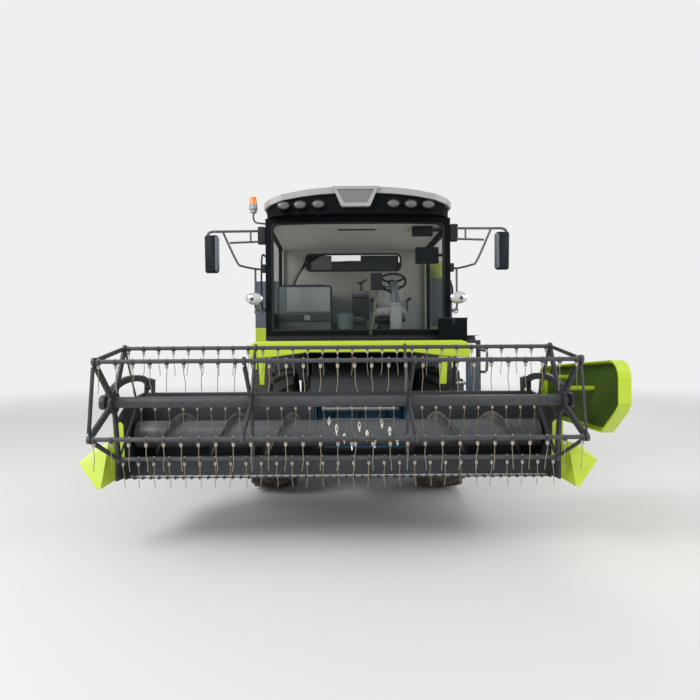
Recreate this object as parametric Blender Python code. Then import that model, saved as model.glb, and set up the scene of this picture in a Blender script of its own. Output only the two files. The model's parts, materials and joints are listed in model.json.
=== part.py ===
"""Combine harvester with a raised grain header, built piece by piece.

Units are metres. +X is the machine's left side, -Y is its front, +Z is up. The header and
the reel are centred on X = 0; the machine behind them is centred on X = MACHINE_X.
"""
import math

import bmesh
import bpy
from mathutils import Matrix, Vector

# Fits between pieces
GAP = 0.0003            # between pieces that touch
BEARING_GAP = 0.0008    # round a journal in its eye

# Places along the machine
MACHINE_X = 0.25
REEL_Y = -3.40
REEL_Z = 1.412

# Reel
BAR_CIRCLE = 0.517
BAR_RADIUS = 0.022
BAR_HALF = 1.945
BAR_COUNT = 5
FIRST_BAR_DEG = 44.0
TINE_PITCH = 0.135
TINE_COUNT = 29
TINE_CAP = 0.062
TINE_WIRE = 0.0075
TINE_LENGTH = 0.255
TINE_REACH = 0.022
REEL_TUBE_RADIUS = 0.048
SPIDER_END_X = 1.925
SPIDER_MID_X = (-0.74, 0.61)
SPIDER_THICK = 0.016
SPIDER_ARM_WIDTH = 0.055
SPIDER_HUB_RADIUS = 0.10
EYE_RADIUS = 0.047
REEL_JOURNAL_RADIUS = 0.03

# Reel arms
ARM_X = 1.99
ARM_THICK = 0.045
ARM_DEPTH = 0.085
ARM_PIVOT_Y = REEL_Y + 1.09
ARM_PIVOT_Z = 1.50
ARM_EYE_RADIUS = 0.065
DRIVE_PLATE = 0.008              # on the left arm, behind the drive cover

# Reel drive cover
COVER_X0 = 2.20
COVER_X1 = 2.30
COVER_RIM = 0.012
COVER_FRONT = REEL_Y - 0.41
COVER_BACK = REEL_Y + 1.20
COVER_LOW = 1.15
COVER_HIGH = 1.76
COVER_HIGH_BACK = 1.67
COVER_CORNER = 0.14
COVER_POST_RADIUS = 0.02

# Header
END_X = 2.05
SHEET = 0.016
HEADER_BOTTOM = 0.626
HEADER_TOP = 1.408
TROUGH_GAP = 0.024
KNIFE_Y = REEL_Y + 0.426
KNIFE_Z = 0.668
END_FRONT_Y = REEL_Y + 0.336
DIVIDER_LENGTH = 0.30
DIVIDER_OUT = 2.30
BEAM_SIZE = 0.115
FEED_HALF = 0.50
FEED_LOW = 0.80
FEED_HIGH = 1.285
GUARD_PITCH = 0.0762
GUARD_COUNT = 53
GUARD_REACH = 0.07
KNIFE_PLATE = 0.004

# Auger
AUGER_Y = REEL_Y + 0.785
AUGER_Z = 1.012
AUGER_DRUM_RADIUS = 0.135
AUGER_FLIGHT_RADIUS = 0.215
AUGER_PITCH = 0.55
FLIGHT_THICK = 0.010
FLIGHT_STEPS = 10
FINGER_COUNT = 10
FINGER_PITCH = 0.075
FINGER_REACH = 0.205

# Feeder house and its lift
BACK_Y = AUGER_Y + AUGER_FLIGHT_RADIUS + TROUGH_GAP
FEEDER_HALF = 0.56
FEEDER_PIVOT_Y = REEL_Y + 2.90
FEEDER_PIVOT_Z = 1.70
FEEDER_END_RADIUS = 0.25
LIFT_X = 0.40
LIFT_BASE_Y = REEL_Y + 2.48
LIFT_BASE_Z = 0.60
LIFT_EYE_Y = REEL_Y + 1.50
LIFT_EYE_Z = 0.76
LIFT_BARREL_RADIUS = 0.042
LIFT_ROD_RADIUS = 0.020
LIFT_BARREL_LENGTH = 0.62
LIFT_EYE_RADIUS = 0.045
LIFT_EYE_THICK = 0.045
LUG_THICK = 0.022

# Running gear
FRONT_AXLE_Y = REEL_Y + 2.646
FRONT_TYRE_RADIUS = 0.81
FRONT_TYRE_WIDTH = 0.59
FRONT_RIM_RADIUS = 0.335
FRONT_TRACK = 2.18
FRONT_LUGS = 18
REAR_AXLE_Y = REEL_Y + 6.30
REAR_TYRE_RADIUS = 0.485
REAR_TYRE_WIDTH = 0.31
REAR_RIM_RADIUS = 0.235
REAR_TRACK = 2.30
REAR_LUGS = 15
LUG_RAMP = 0.12                  # share of a pitch from a lug's foot to its top
LUG_WIDEST = 0.5 - LUG_RAMP      # widest step between rows of tread points
LUG_HEIGHT_FRONT = 0.042
LUG_HEIGHT_REAR = 0.026
KINGPIN_INSET = 0.25             # from a rear wheel's middle plane in to its kingpin
KINGPIN_X = REAR_TRACK / 2 - KINGPIN_INSET
KINGPIN_RADIUS = 0.035

# Frame and body
RAIL_IN = 0.64
RAIL_THICK = 0.10
RAIL_LOW = 1.12
RAIL_HIGH = 1.30
BODY_BACK_Y = REEL_Y + 5.95
BODY_TOP = 2.28
SIDE_HALF = 1.467
SIDE_FRONT_Y = REEL_Y + 3.30
SIDE_BACK_Y = REEL_Y + 6.72
SIDE_LOW = 1.16
SIDE_TOP = 2.89
PANEL = 0.022
ARCH_CLEAR = 0.10
TANK_HALF = 1.10
TANK_FRONT_Y = REEL_Y + 3.36
TANK_BACK_Y = REEL_Y + 4.86
TANK_TOP = 3.12
TANK_WALL = 0.02
LID_THICK = 0.025
LID_RISE = 0.08
HOOD_BACK_Y = REEL_Y + 6.10
HOOD_TOP = 3.02
STRAW_HALF = 0.74
STRAW_BACK_Y = REEL_Y + 6.95
REAR_Y = 3.90
UNLOADER_ASIDE = 0.20            # from the tank's side out to the unloader's axis
UNLOADER_X = TANK_HALF + UNLOADER_ASIDE
UNLOADER_Y = REEL_Y + 3.62
UNLOADER_Z = 3.16
UNLOADER_RADIUS = 0.14

# Cab
CAB_FLOOR_LOW = 1.96
CAB_FLOOR_HIGH = 2.02
CAB_HALF = 1.10
CAB_FRONT_Y = REEL_Y + 1.60
CAB_BOW = 0.10
CAB_BACK_Y = REEL_Y + 3.22
CAB_GLASS_LOW = 2.08
CAB_EAVES = 3.42
POST = 0.075
GLASS = 0.010
REAR_GLASS_X = (-0.70, 0.68)     # from the machine's middle
REAR_GLASS_Z = (3.01, 3.26)
ROOF_FRONT_Y = REEL_Y + 1.44
ROOF_HALF = 1.11
ROOF_TOP = 3.72
ROOF_DROP = 0.12
VISOR_LOW = 3.43
RIM_DEPTH = 0.07
LAMP_RADIUS = 0.062
LAMP_Z = 3.53
BEACON_ASIDE = 0.12
LAMP_PLACES = (-0.86, -0.67, -0.46, 0.40, 0.60, 0.80)

MONITOR_BACK = 0.04
MONITORS = (
    # left, right, low, high, from the machine's middle and the ground
    (0.66, 0.90, 3.22, 3.35),
    (0.70, 0.97, 2.89, 3.08),
)

# Seats and console
SEAT_X = 0.44
SEAT_BACK = 0.95                 # from the cab's front to the seat's middle
CONSOLE_OUT = 0.07               # from the cab's side in to the console
CONSOLE_WIDTH = 0.71
CONSOLE_HEIGHT = 0.69
SECOND_SEAT_WIDTH = 0.44

# Ladder and platform
DECK_TOP = 2.015
LADDER_OUT = 1.42                # outer edge from the machine's middle
LADDER_POST = 0.03
STEP_HEIGHTS = (0.90, 1.17, 1.44, 1.71)
HANDRAIL_RADIUS = 0.014
TOOL_BOX_X = (MACHINE_X + CAB_HALF - 0.16, MACHINE_X + CAB_HALF + 0.16)

# Bumper
BUMPER_Y = REEL_Y + 1.386
BUMPER_HALF = 1.25
BUMPER_TOP = 1.945
BUMPER_LOW_END = 1.763
BUMPER_LOW_MID = 1.825
BUMPER_DEPTH = 0.16

FINISHES = {
    # name: colour, roughness, metallic
    "lime_paint": ((0.50, 0.66, 0.04), 0.35, 0.0),
    "charcoal_paint": ((0.071, 0.078, 0.086), 0.45, 0.1),
    "slate_paint": ((0.16, 0.19, 0.23), 0.40, 0.1),
    "black_trim": ((0.012, 0.014, 0.017), 0.45, 0.0),
    "roof_white": ((0.72, 0.72, 0.70), 0.35, 0.0),
    "tinted_glass": ((0.03, 0.045, 0.05), 0.06, 0.0),
    "tyre_rubber": ((0.018, 0.018, 0.019), 0.85, 0.0),
    "rim_paint": ((0.62, 0.64, 0.62), 0.4, 0.2),
    "bright_steel": ((0.55, 0.56, 0.58), 0.3, 1.0),
    "seat_fabric": ((0.06, 0.07, 0.075), 0.9, 0.0),
    "amber_lens": ((0.85, 0.24, 0.02), 0.2, 0.0),
    "cast_engine": ((0.10, 0.11, 0.11), 0.6, 0.6),
}


def clear_scene():
    """Empty the scene of every object."""
    for old in list(bpy.data.objects):
        bpy.data.objects.remove(old, do_unlink=True)


def finish(name):
    """Return the named finish as a material, made the first time it is asked for."""
    found = bpy.data.materials.get(name)
    if found:
        return found
    colour, roughness, metallic = FINISHES[name]
    material = bpy.data.materials.new(name)
    material.use_nodes = True
    shader = material.node_tree.nodes["Principled BSDF"]
    shader.inputs["Base Color"].default_value = (*colour, 1.0)
    shader.inputs["Roughness"].default_value = roughness
    shader.inputs["Metallic"].default_value = metallic
    return material


def piece(bm):
    """Turn a bmesh into a working object with its faces pointing out."""
    bmesh.ops.recalc_face_normals(bm, faces=bm.faces)
    mesh = bpy.data.meshes.new("piece")
    bm.to_mesh(mesh)
    bm.free()
    made = bpy.data.objects.new("piece", mesh)
    bpy.context.collection.objects.link(made)
    return made


def rings_to_piece(rings, capped=True, closed=False):
    """Skin rings of points that have equal counts; close the run or cap its two ends."""
    bm = bmesh.new()
    loops = [[bm.verts.new(point) for point in ring] for ring in rings]
    count = len(loops[0])
    spans = len(loops) if closed else len(loops) - 1
    for i in range(spans):
        here, there = loops[i], loops[(i + 1) % len(loops)]
        for j in range(count):
            k = (j + 1) % count
            # opposite sides of a thin section are split along matching diagonals
            if 2 * j < count:
                triangles = ((here[j], here[k], there[k]), (here[j], there[k], there[j]))
            else:
                triangles = ((here[j], here[k], there[j]), (here[k], there[k], there[j]))
            for corners in triangles:
                bm.faces.new(corners)
    if capped and not closed:
        bm.faces.new(loops[0])
        bm.faces.new(loops[-1])
    return piece(bm)


def point_on(axis, along, u, v):
    """Give a point from its place along an axis and its other two coordinates in order."""
    if axis == "X":
        return Vector((along, u, v))
    if axis == "Y":
        return Vector((u, along, v))
    return Vector((u, v, along))


def prism(outline, axis, low, high):
    """Extrude an outline of the two other coordinates from low to high along an axis."""
    ends = [[point_on(axis, along, u, v) for u, v in outline] for along in (low, high)]
    return rings_to_piece(ends)


def box(x0, x1, y0, y1, z0, z1):
    """Make a block between two corners."""
    return prism([(x0, y0), (x1, y0), (x1, y1), (x0, y1)], "Z", z0, z1)


def circle(u, v, radius, steps, phase=0.0):
    """List the corners of a regular polygon round a centre."""
    turns = [phase + 2 * math.pi * i / steps for i in range(steps)]
    return [(u + radius * math.cos(t), v + radius * math.sin(t)) for t in turns]


def arc(u, v, radius, start_deg, end_deg, steps):
    """List points on an arc from one angle to another."""
    out = []
    for i in range(steps + 1):
        t = math.radians(start_deg + (end_deg - start_deg) * i / steps)
        out.append((u + radius * math.cos(t), v + radius * math.sin(t)))
    return out


def rod(axis, u, v, radius, low, high, steps=12, phase=0.0):
    """Make a round bar along an axis, centred on its two other coordinates."""
    return prism(circle(u, v, radius, steps, phase), axis, low, high)


def turned(profile, axis, u, v, steps, closed=False):
    """Turn a profile of (radius, place along the axis) about an axis through (u, v)."""
    rings = []
    for radius, along in profile:
        rings.append([point_on(axis, along, a, b) for a, b in circle(u, v, radius, steps)])
    return rings_to_piece(rings, capped=True, closed=closed)


def tube(path, radius, sides=8):
    """Carry a round section along a path of points, capped at both ends."""
    points = [Vector(p) for p in path]
    rings = []
    side = None
    for i, point in enumerate(points):
        before = points[max(i - 1, 0)]
        after = points[min(i + 1, len(points) - 1)]
        along = (after - before).normalized()
        if side is None:
            guess = Vector((0, 0, 1)) if abs(along.z) < 0.9 else Vector((0, 1, 0))
            side = along.cross(guess).normalized()
        side = (side - along * side.dot(along)).normalized()
        up = along.cross(side)
        turns = [2 * math.pi * j / sides for j in range(sides)]
        ring = [point + radius * (math.cos(t) * side + math.sin(t) * up) for t in turns]
        rings.append(ring)
    return rings_to_piece(rings)


def hull(points):
    """Wrap points in their convex hull."""
    bm = bmesh.new()
    for point in points:
        bm.verts.new(point)
    made = bmesh.ops.convex_hull(bm, input=bm.verts)
    spare = {g for g in made["geom_interior"] + made["geom_unused"] if isinstance(g, bmesh.types.BMVert)}
    bmesh.ops.delete(bm, geom=list(spare), context="VERTS")
    return piece(bm)


def ribbon(centreline, depth):
    """Outline a band of the given depth that follows a centreline of 2-D points."""
    points = [Vector(p) for p in centreline]
    upper, lower = [], []
    for i, point in enumerate(points):
        along = (points[min(i + 1, len(points) - 1)] - points[max(i - 1, 0)]).normalized()
        across = Vector((-along.y, along.x)) * depth / 2
        upper.append(tuple(point + across))
        lower.append(tuple(point - across))
    return upper + lower[::-1]


def stretched(start, end, before, after):
    """Give a 2-D line carried on past its two ends by the given lengths."""
    a, b = Vector(start), Vector(end)
    along = (b - a).normalized()
    return [a - along * before, b + along * after]


def boolean(target, others, operation):
    """Join others to a piece, or cut them from it, in one exact step."""
    group = bpy.data.collections.new("operands")
    for other in others:
        group.objects.link(other)
    step = target.modifiers.new("boolean", "BOOLEAN")
    step.operation = operation
    step.operand_type = "COLLECTION"
    step.collection = group
    step.solver = "EXACT"
    view = bpy.context.evaluated_depsgraph_get()
    result = bpy.data.meshes.new_from_object(target.evaluated_get(view))
    target.modifiers.clear()
    target.data = result
    for other in others:
        bpy.data.objects.remove(other, do_unlink=True)
    bpy.data.collections.remove(group)
    return target


def join(first, *others):
    """Unite overlapping pieces into one solid."""
    return boolean(first, list(others), "UNION")


def cut(target, *cutters):
    """Cut pieces out of a solid."""
    return boolean(target, list(cutters), "DIFFERENCE")


def node(name, made, material, pivot=None, smooth_deg=None):
    """Name a finished solid, give it its finish, and put its origin on its pivot."""
    bm = bmesh.new()
    bm.from_mesh(made.data)
    bmesh.ops.dissolve_limit(bm, angle_limit=math.radians(0.05), verts=bm.verts, edges=bm.edges)
    bmesh.ops.triangulate(bm, faces=bm.faces)
    if pivot is not None:
        bmesh.ops.translate(bm, verts=bm.verts, vec=-Vector(pivot))
    bm.to_mesh(made.data)
    bm.free()
    if pivot is not None:
        made.location = pivot
    made.name = name
    made.data.name = name
    made.data.materials.clear()
    made.data.materials.append(finish(material))
    if smooth_deg:
        made.data.shade_smooth()
        made.data.set_sharp_from_angle(angle=math.radians(smooth_deg))
    return made


def mirrored(made, centre_x):
    """Copy a working piece to the other side of an upright plane."""
    twin = bpy.data.objects.new("piece", made.data.copy())
    twin.data.transform(Matrix.Translation((2 * centre_x, 0, 0)) @ Matrix.Scale(-1, 4, (1, 0, 0)))
    twin.data.flip_normals()
    bpy.context.collection.objects.link(twin)
    return twin


def bar_centres():
    """List the five tine bars' centres as (y, z), seen from the machine's left."""
    out = []
    for i in range(BAR_COUNT):
        t = math.radians(FIRST_BAR_DEG + 360.0 / BAR_COUNT * i)
        out.append((REEL_Y - BAR_CIRCLE * math.cos(t), REEL_Z + BAR_CIRCLE * math.sin(t)))
    return out


def build_reel():
    """Make the reel's rotor with its spiders, and the tine bars that turn in it."""
    hole = BAR_RADIUS + BEARING_GAP
    hole /= math.cos(math.pi / 8)
    spiders = [(-SPIDER_END_X, True), (SPIDER_END_X, True)]
    spiders += [(x, False) for x in SPIDER_MID_X]
    solid = rod("X", REEL_Y, REEL_Z, REEL_TUBE_RADIUS, -SPIDER_END_X, SPIDER_END_X, 16)
    additions = []
    holes = []
    journal_end = ARM_X + ARM_THICK
    for side in (-1, 1):
        low, high = sorted((side * (SPIDER_END_X - 0.05), side * journal_end))
        additions.append(rod("X", REEL_Y, REEL_Z, REEL_JOURNAL_RADIUS, low, high, 12))
    for x, is_end in spiders:
        half = SPIDER_THICK / 2
        additions.append(rod("X", REEL_Y, REEL_Z, SPIDER_HUB_RADIUS, x - half, x + half, 10))
        centres = bar_centres()
        for i, (y, z) in enumerate(centres):
            line = stretched((REEL_Y, REEL_Z), (y, z), -0.07, 0.03)
            additions.append(prism(ribbon(line, SPIDER_ARM_WIDTH), "X", x - half, x + half))
            eye = circle(y, z, EYE_RADIUS, 8, math.pi / 8)
            additions.append(prism(eye, "X", x - half, x + half))
            holes.append(prism(circle(y, z, hole, 8, math.pi / 8), "X", x - 2 * half, x + 2 * half))
            if is_end:
                following = centres[(i + 1) % BAR_COUNT]
                rim = stretched((y, z), following, 0.03, 0.03)
                additions.append(prism(ribbon(rim, SPIDER_ARM_WIDTH * 0.6), "X", x - half, x + half))
    join(solid, *additions)
    cut(solid, *holes)
    node("reel_rotor", solid, "charcoal_paint", (0, REEL_Y, REEL_Z), 35)
    for i, (y, z) in enumerate(bar_centres()):
        bar = rod("X", y, z, BAR_RADIUS, -BAR_HALF, BAR_HALF, 8)
        first = -TINE_PITCH * (TINE_COUNT - 1) / 2
        tines = [tine(first + k * TINE_PITCH, y, z) for k in range(TINE_COUNT)]
        join(bar, *tines)
        node(f"tine_bar_{i + 1}", bar, "charcoal_paint", (0, y, z), 35)


def tine(x, y, z):
    """Make one spring tine: a cap clasped under the bar and a wire that hangs from it."""
    sections = [
        # half width, half depth, drop below the bar's centre, set-back
        (0.013, 0.015, 0.006, 0.0),
        (0.012, 0.014, TINE_CAP, 0.002),
        (TINE_WIRE / 2, TINE_WIRE / 2, TINE_CAP + 0.006, 0.003),
        (TINE_WIRE / 2.6, TINE_WIRE / 2.6, TINE_LENGTH, TINE_REACH),
    ]
    rings = []
    for wide, deep, drop, back in sections:
        corners = ((-wide, -deep * 0.8), (wide, -deep * 0.8), (0, deep))
        rings.append([(x + u, y + back + v, z - drop) for u, v in corners])
    return rings_to_piece(rings)


def build_reel_arms():
    """Make the two arms that carry the reel, with their bearing eyes, and the drive cover."""
    spine = [
        (ARM_PIVOT_Y, ARM_PIVOT_Z),
        (REEL_Y + 0.86, ARM_PIVOT_Z + 0.07),
        (REEL_Y + 0.50, ARM_PIVOT_Z + 0.085),
        (REEL_Y + 0.22, ARM_PIVOT_Z + 0.03),
        (REEL_Y, REEL_Z),
    ]
    # the bores are turned by half a side, so the journals' corners face their flats
    bore = (REEL_JOURNAL_RADIUS + BEARING_GAP) / math.cos(math.pi / 12)
    for side, name in ((-1, "R"), (1, "L")):
        low, high = sorted((side * ARM_X, side * (ARM_X + ARM_THICK)))
        arm = prism(ribbon(spine, ARM_DEPTH), "X", low, high)
        ends = [
            prism(circle(REEL_Y, REEL_Z, ARM_EYE_RADIUS, 12), "X", low, high),
            prism(circle(ARM_PIVOT_Y, ARM_PIVOT_Z, ARM_EYE_RADIUS, 12), "X", low, high),
        ]
        if side > 0:
            plate = [(REEL_Y - 0.22, 1.30), (REEL_Y + 0.80, 1.36), (REEL_Y + 0.86, 1.58),
                     (REEL_Y + 0.70, 1.63), (REEL_Y - 0.16, 1.62), (REEL_Y - 0.24, 1.54)]
            ends.append(prism(plate, "X", high - 0.004, high + DRIVE_PLATE))
        join(arm, *ends)
        turn = math.pi / 12
        cut(arm, rod("X", REEL_Y, REEL_Z, bore, low - 0.1, high + 0.1, 12, turn),
            rod("X", ARM_PIVOT_Y, ARM_PIVOT_Z, bore, low - 0.1, high + 0.1, 12, turn))
        node(f"reel_arm_{name}", arm, "charcoal_paint", (0, ARM_PIVOT_Y, ARM_PIVOT_Z), 35)


def cover_outline(inset):
    """Outline the reel drive cover from the side, drawn in by an inset."""
    front, back = COVER_FRONT + inset, COVER_BACK - inset
    low, high, high_back = COVER_LOW + inset, COVER_HIGH - inset, COVER_HIGH_BACK - inset
    corner = COVER_CORNER - inset / 2
    out = [(front + 0.27, low), (back - corner, low)]
    out += arc(back - corner, low + corner, corner, -90, 0, 3)[1:]
    out += arc(back - corner, high_back - corner, corner, 0, 85, 3)
    out += arc(front + corner, high - corner, corner, 95, 180, 4)
    out += [(front, high - 0.34), (front + 0.04, low + 0.20)]
    return out


def build_cover():
    """Make the lime cover over the reel drive: a shallow shell open towards the arm."""
    shell = prism(cover_outline(0.0), "X", COVER_X0, COVER_X1)
    cut(shell, prism(cover_outline(COVER_RIM), "X", COVER_X0 - 0.1, COVER_X1 - COVER_RIM))
    arm_face = ARM_X + ARM_THICK + DRIVE_PLATE + GAP
    posts = [rod("X", REEL_Y + y, z, COVER_POST_RADIUS, arm_face, COVER_X1 - COVER_RIM / 2, 8)
             for y, z in ((0.16, 1.50), (0.62, ARM_PIVOT_Z + 0.075))]
    join(shell, *posts)
    node("reel_drive_cover", shell, "lime_paint", (0, ARM_PIVOT_Y, ARM_PIVOT_Z), 35)


def build_header():
    """Make the header's trough, end sheets, beams and knife guards as one welded frame."""
    trough = AUGER_FLIGHT_RADIUS + TROUGH_GAP
    lip_y = KNIFE_Y + 0.016
    inner = [(lip_y, KNIFE_Z)]
    inner += arc(AUGER_Y, AUGER_Z, trough, 235, 360, 7)
    inner += [(BACK_Y, HEADER_TOP)]
    outer = [(BACK_Y + SHEET, HEADER_TOP)]
    outer += arc(AUGER_Y, AUGER_Z, trough + SHEET, 0, -125, 7)
    outer += [(lip_y, KNIFE_Z - SHEET)]
    frame = prism(inner + outer, "X", -END_X - 0.004, END_X + 0.004)
    sheet_outline = [
        (END_FRONT_Y, HEADER_BOTTOM + 0.02),
        (END_FRONT_Y, 1.18),
        (END_FRONT_Y + 0.30, 1.34),
        (BACK_Y, HEADER_TOP),
        (BACK_Y + BEAM_SIZE, HEADER_TOP),
        (BACK_Y + BEAM_SIZE, HEADER_BOTTOM),
        (KNIFE_Y + 0.2, HEADER_BOTTOM),
    ]
    additions = []
    for side in (-1, 1):
        low, high = sorted((side * END_X, side * (END_X + SHEET)))
        additions.append(prism(sheet_outline, "X", low, high))
        low, high = sorted((side * (ARM_X - 0.02), side * (END_X + SHEET)))
        # bracket that the reel arm swings in, with its pin
        bracket = [(BACK_Y + 0.01, HEADER_TOP - 0.10), (BACK_Y + 0.01, HEADER_TOP - 0.01),
                   (ARM_PIVOT_Y - 0.05, ARM_PIVOT_Z + 0.05), (ARM_PIVOT_Y + 0.05, ARM_PIVOT_Z + 0.05),
                   (BACK_Y + BEAM_SIZE - 0.01, HEADER_TOP - 0.01),
                   (BACK_Y + BEAM_SIZE - 0.01, HEADER_TOP - 0.10)]
        for near in (ARM_X - SHEET - 0.004, ARM_X + ARM_THICK + 0.004):
            a, b = sorted((side * near, side * (near + SHEET)))
            additions.append(prism(bracket, "X", a, b))
        a, b = sorted((side * (ARM_X - 0.012), side * (ARM_X + ARM_THICK + 0.012)))
        additions.append(rod("X", ARM_PIVOT_Y, ARM_PIVOT_Z, REEL_JOURNAL_RADIUS, a, b, 12))
    beam_y0, beam_y1 = BACK_Y + 0.004, BACK_Y + BEAM_SIZE
    half = END_X + 0.004
    additions.append(box(-half, half, beam_y0, beam_y1, HEADER_TOP - BEAM_SIZE, HEADER_TOP - 0.002))
    additions.append(box(-half, half, beam_y0 - 0.02, beam_y1, HEADER_BOTTOM, HEADER_BOTTOM + 0.13))
    for x in (-1.45, -0.85, MACHINE_X - FEEDER_HALF, MACHINE_X + FEEDER_HALF, 1.45):
        additions.append(box(x - 0.03, x + 0.03, beam_y0, beam_y1 - 0.01,
                             HEADER_BOTTOM + 0.1, HEADER_TOP - 0.1))
    # skid ribs under the trough, from the knife back to the lower beam
    rib = [(KNIFE_Y + 0.02, KNIFE_Z - SHEET / 2), (AUGER_Y, AUGER_Z - trough - SHEET / 2),
           (BACK_Y + 0.03, AUGER_Z - 0.15), (BACK_Y + 0.03, HEADER_BOTTOM), (KNIFE_Y + 0.22, HEADER_BOTTOM)]
    for x in (-1.8, -1.1, -0.4, 0.3, 1.0, 1.7):
        additions.append(prism(rib, "X", x - 0.01, x + 0.01))
    additions.append(prism(guard_outline(), "Z", KNIFE_Z - SHEET * 0.9, KNIFE_Z - KNIFE_PLATE))
    join(frame, *additions)
    cut(frame, box(MACHINE_X - FEED_HALF, MACHINE_X + FEED_HALF, BACK_Y - 0.1, BACK_Y + BEAM_SIZE + 0.05,
                   FEED_LOW, FEED_HIGH))
    node("header_frame", frame, "charcoal_paint", (0, FEEDER_PIVOT_Y, FEEDER_PIVOT_Z), 35)


def guard_outline():
    """Outline the knife guards from above: a bar with a pointed finger at each pitch."""
    start = -GUARD_PITCH * (GUARD_COUNT - 1) / 2
    back, root, tip = KNIFE_Y + 0.03, KNIFE_Y - 0.012, KNIFE_Y - GUARD_REACH
    out = [(start - 0.03, back), (start - 0.03, root)]
    for i in range(GUARD_COUNT):
        x = start + i * GUARD_PITCH
        out += [(x - 0.014, root), (x, tip), (x + 0.014, root)]
    out += [(-start + 0.03, root), (-start + 0.03, back)]
    return out


def knife_outline():
    """Outline the sickle from above: a back strip with a blunt triangle at each pitch."""
    start = -GUARD_PITCH * (GUARD_COUNT - 1) / 2
    back, root, tip = KNIFE_Y + 0.012, KNIFE_Y - 0.008, KNIFE_Y - 0.055
    out = [(start, back), (start, root)]
    for i in range(GUARD_COUNT - 1):
        x = start + (i + 0.5) * GUARD_PITCH
        out += [(x - 0.032, root), (x, tip), (x + 0.032, root)]
    out += [(-start, root), (-start, back)]
    return out


def build_knife():
    """Make the sliding sickle that lies on the guards."""
    blade = prism(knife_outline(), "Z", KNIFE_Z - KNIFE_PLATE + GAP, KNIFE_Z - GAP)
    node("knife", blade, "bright_steel", (0, KNIFE_Y, KNIFE_Z))


def build_dividers():
    """Make the two folded crop dividers on the header's front corners."""
    inner = END_X + SHEET + GAP
    nose_y, back_y = END_FRONT_Y - DIVIDER_LENGTH, END_FRONT_Y + 0.16
    wing_y = nose_y + 0.09
    points = [
        # x, y, z of one side's wing: nose, outer tip, shoulder and back
        (inner, nose_y, 0.655), (inner + 0.03, nose_y, 0.655),
        (DIVIDER_OUT, wing_y, 0.865), (DIVIDER_OUT - 0.015, wing_y + 0.02, 0.84),
        (inner + 0.10, wing_y + 0.07, 0.995), (inner, wing_y + 0.07, 1.02),
        (inner, back_y, 1.0), (inner + 0.05, back_y, 0.96),
        (inner + 0.04, back_y, 0.66), (inner, back_y, 0.66),
    ]
    for side, name in ((-1, "R"), (1, "L")):
        wedge = hull([(side * x, y, z) for x, y, z in points])
        strip_low, strip_high = sorted((side * inner, side * (inner + 0.012)))
        strip = box(strip_low, strip_high, END_FRONT_Y - 0.02, END_FRONT_Y + 0.06, 0.86, 1.18)
        join(wedge, strip)
        node(f"divider_{name}", wedge, "lime_paint", None, 35)


def flight(start_x, end_x, hand):
    """Make a helical flight as a thin ribbon wound on the drum between two places."""
    turns = abs(end_x - start_x) / AUGER_PITCH
    count = max(2, round(turns * FLIGHT_STEPS))
    rings = []
    for i in range(count + 1):
        x = start_x + (end_x - start_x) * i / count
        t = 0.1 + hand * 2 * math.pi * abs(x - start_x) / AUGER_PITCH
        ring = []
        for radius, shift in ((AUGER_DRUM_RADIUS * 0.9, -1), (AUGER_FLIGHT_RADIUS, -1),
                              (AUGER_FLIGHT_RADIUS, 1), (AUGER_DRUM_RADIUS * 0.9, 1)):
            ring.append((x + shift * FLIGHT_THICK / 2, AUGER_Y + radius * math.cos(t),
                         AUGER_Z + radius * math.sin(t)))
        rings.append(ring)
    return rings_to_piece(rings)


def build_auger():
    """Make the feed auger: a drum, a flight from each end and fingers before the feeder."""
    end = END_X - GAP
    drum = rod("X", AUGER_Y, AUGER_Z, AUGER_DRUM_RADIUS, -end + 0.03, end - 0.03, 12)
    additions = [rod("X", AUGER_Y, AUGER_Z, 0.04, -end, end, 10)]
    additions.append(flight(-end + 0.06, MACHINE_X - FEED_HALF + 0.05, 1))
    additions.append(flight(end - 0.06, MACHINE_X + FEED_HALF - 0.05, -1))
    for i in range(FINGER_COUNT):
        x = MACHINE_X + (i - (FINGER_COUNT - 1) / 2) * FINGER_PITCH
        # the fingers draw in behind the drum, so they stand out only towards the front
        t = math.radians(120 + 110 * (i * 3 % FINGER_COUNT) / (FINGER_COUNT - 1))
        out = Vector((0, math.cos(t), math.sin(t)))
        hub = Vector((x, AUGER_Y, AUGER_Z))
        root, tip = hub + AUGER_DRUM_RADIUS * 0.75 * out, hub + FINGER_REACH * out
        additions.append(tube([root, tip], 0.009, 4))
    join(drum, *additions)
    node("auger", drum, "slate_paint", (0, AUGER_Y, AUGER_Z), 35)


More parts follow.
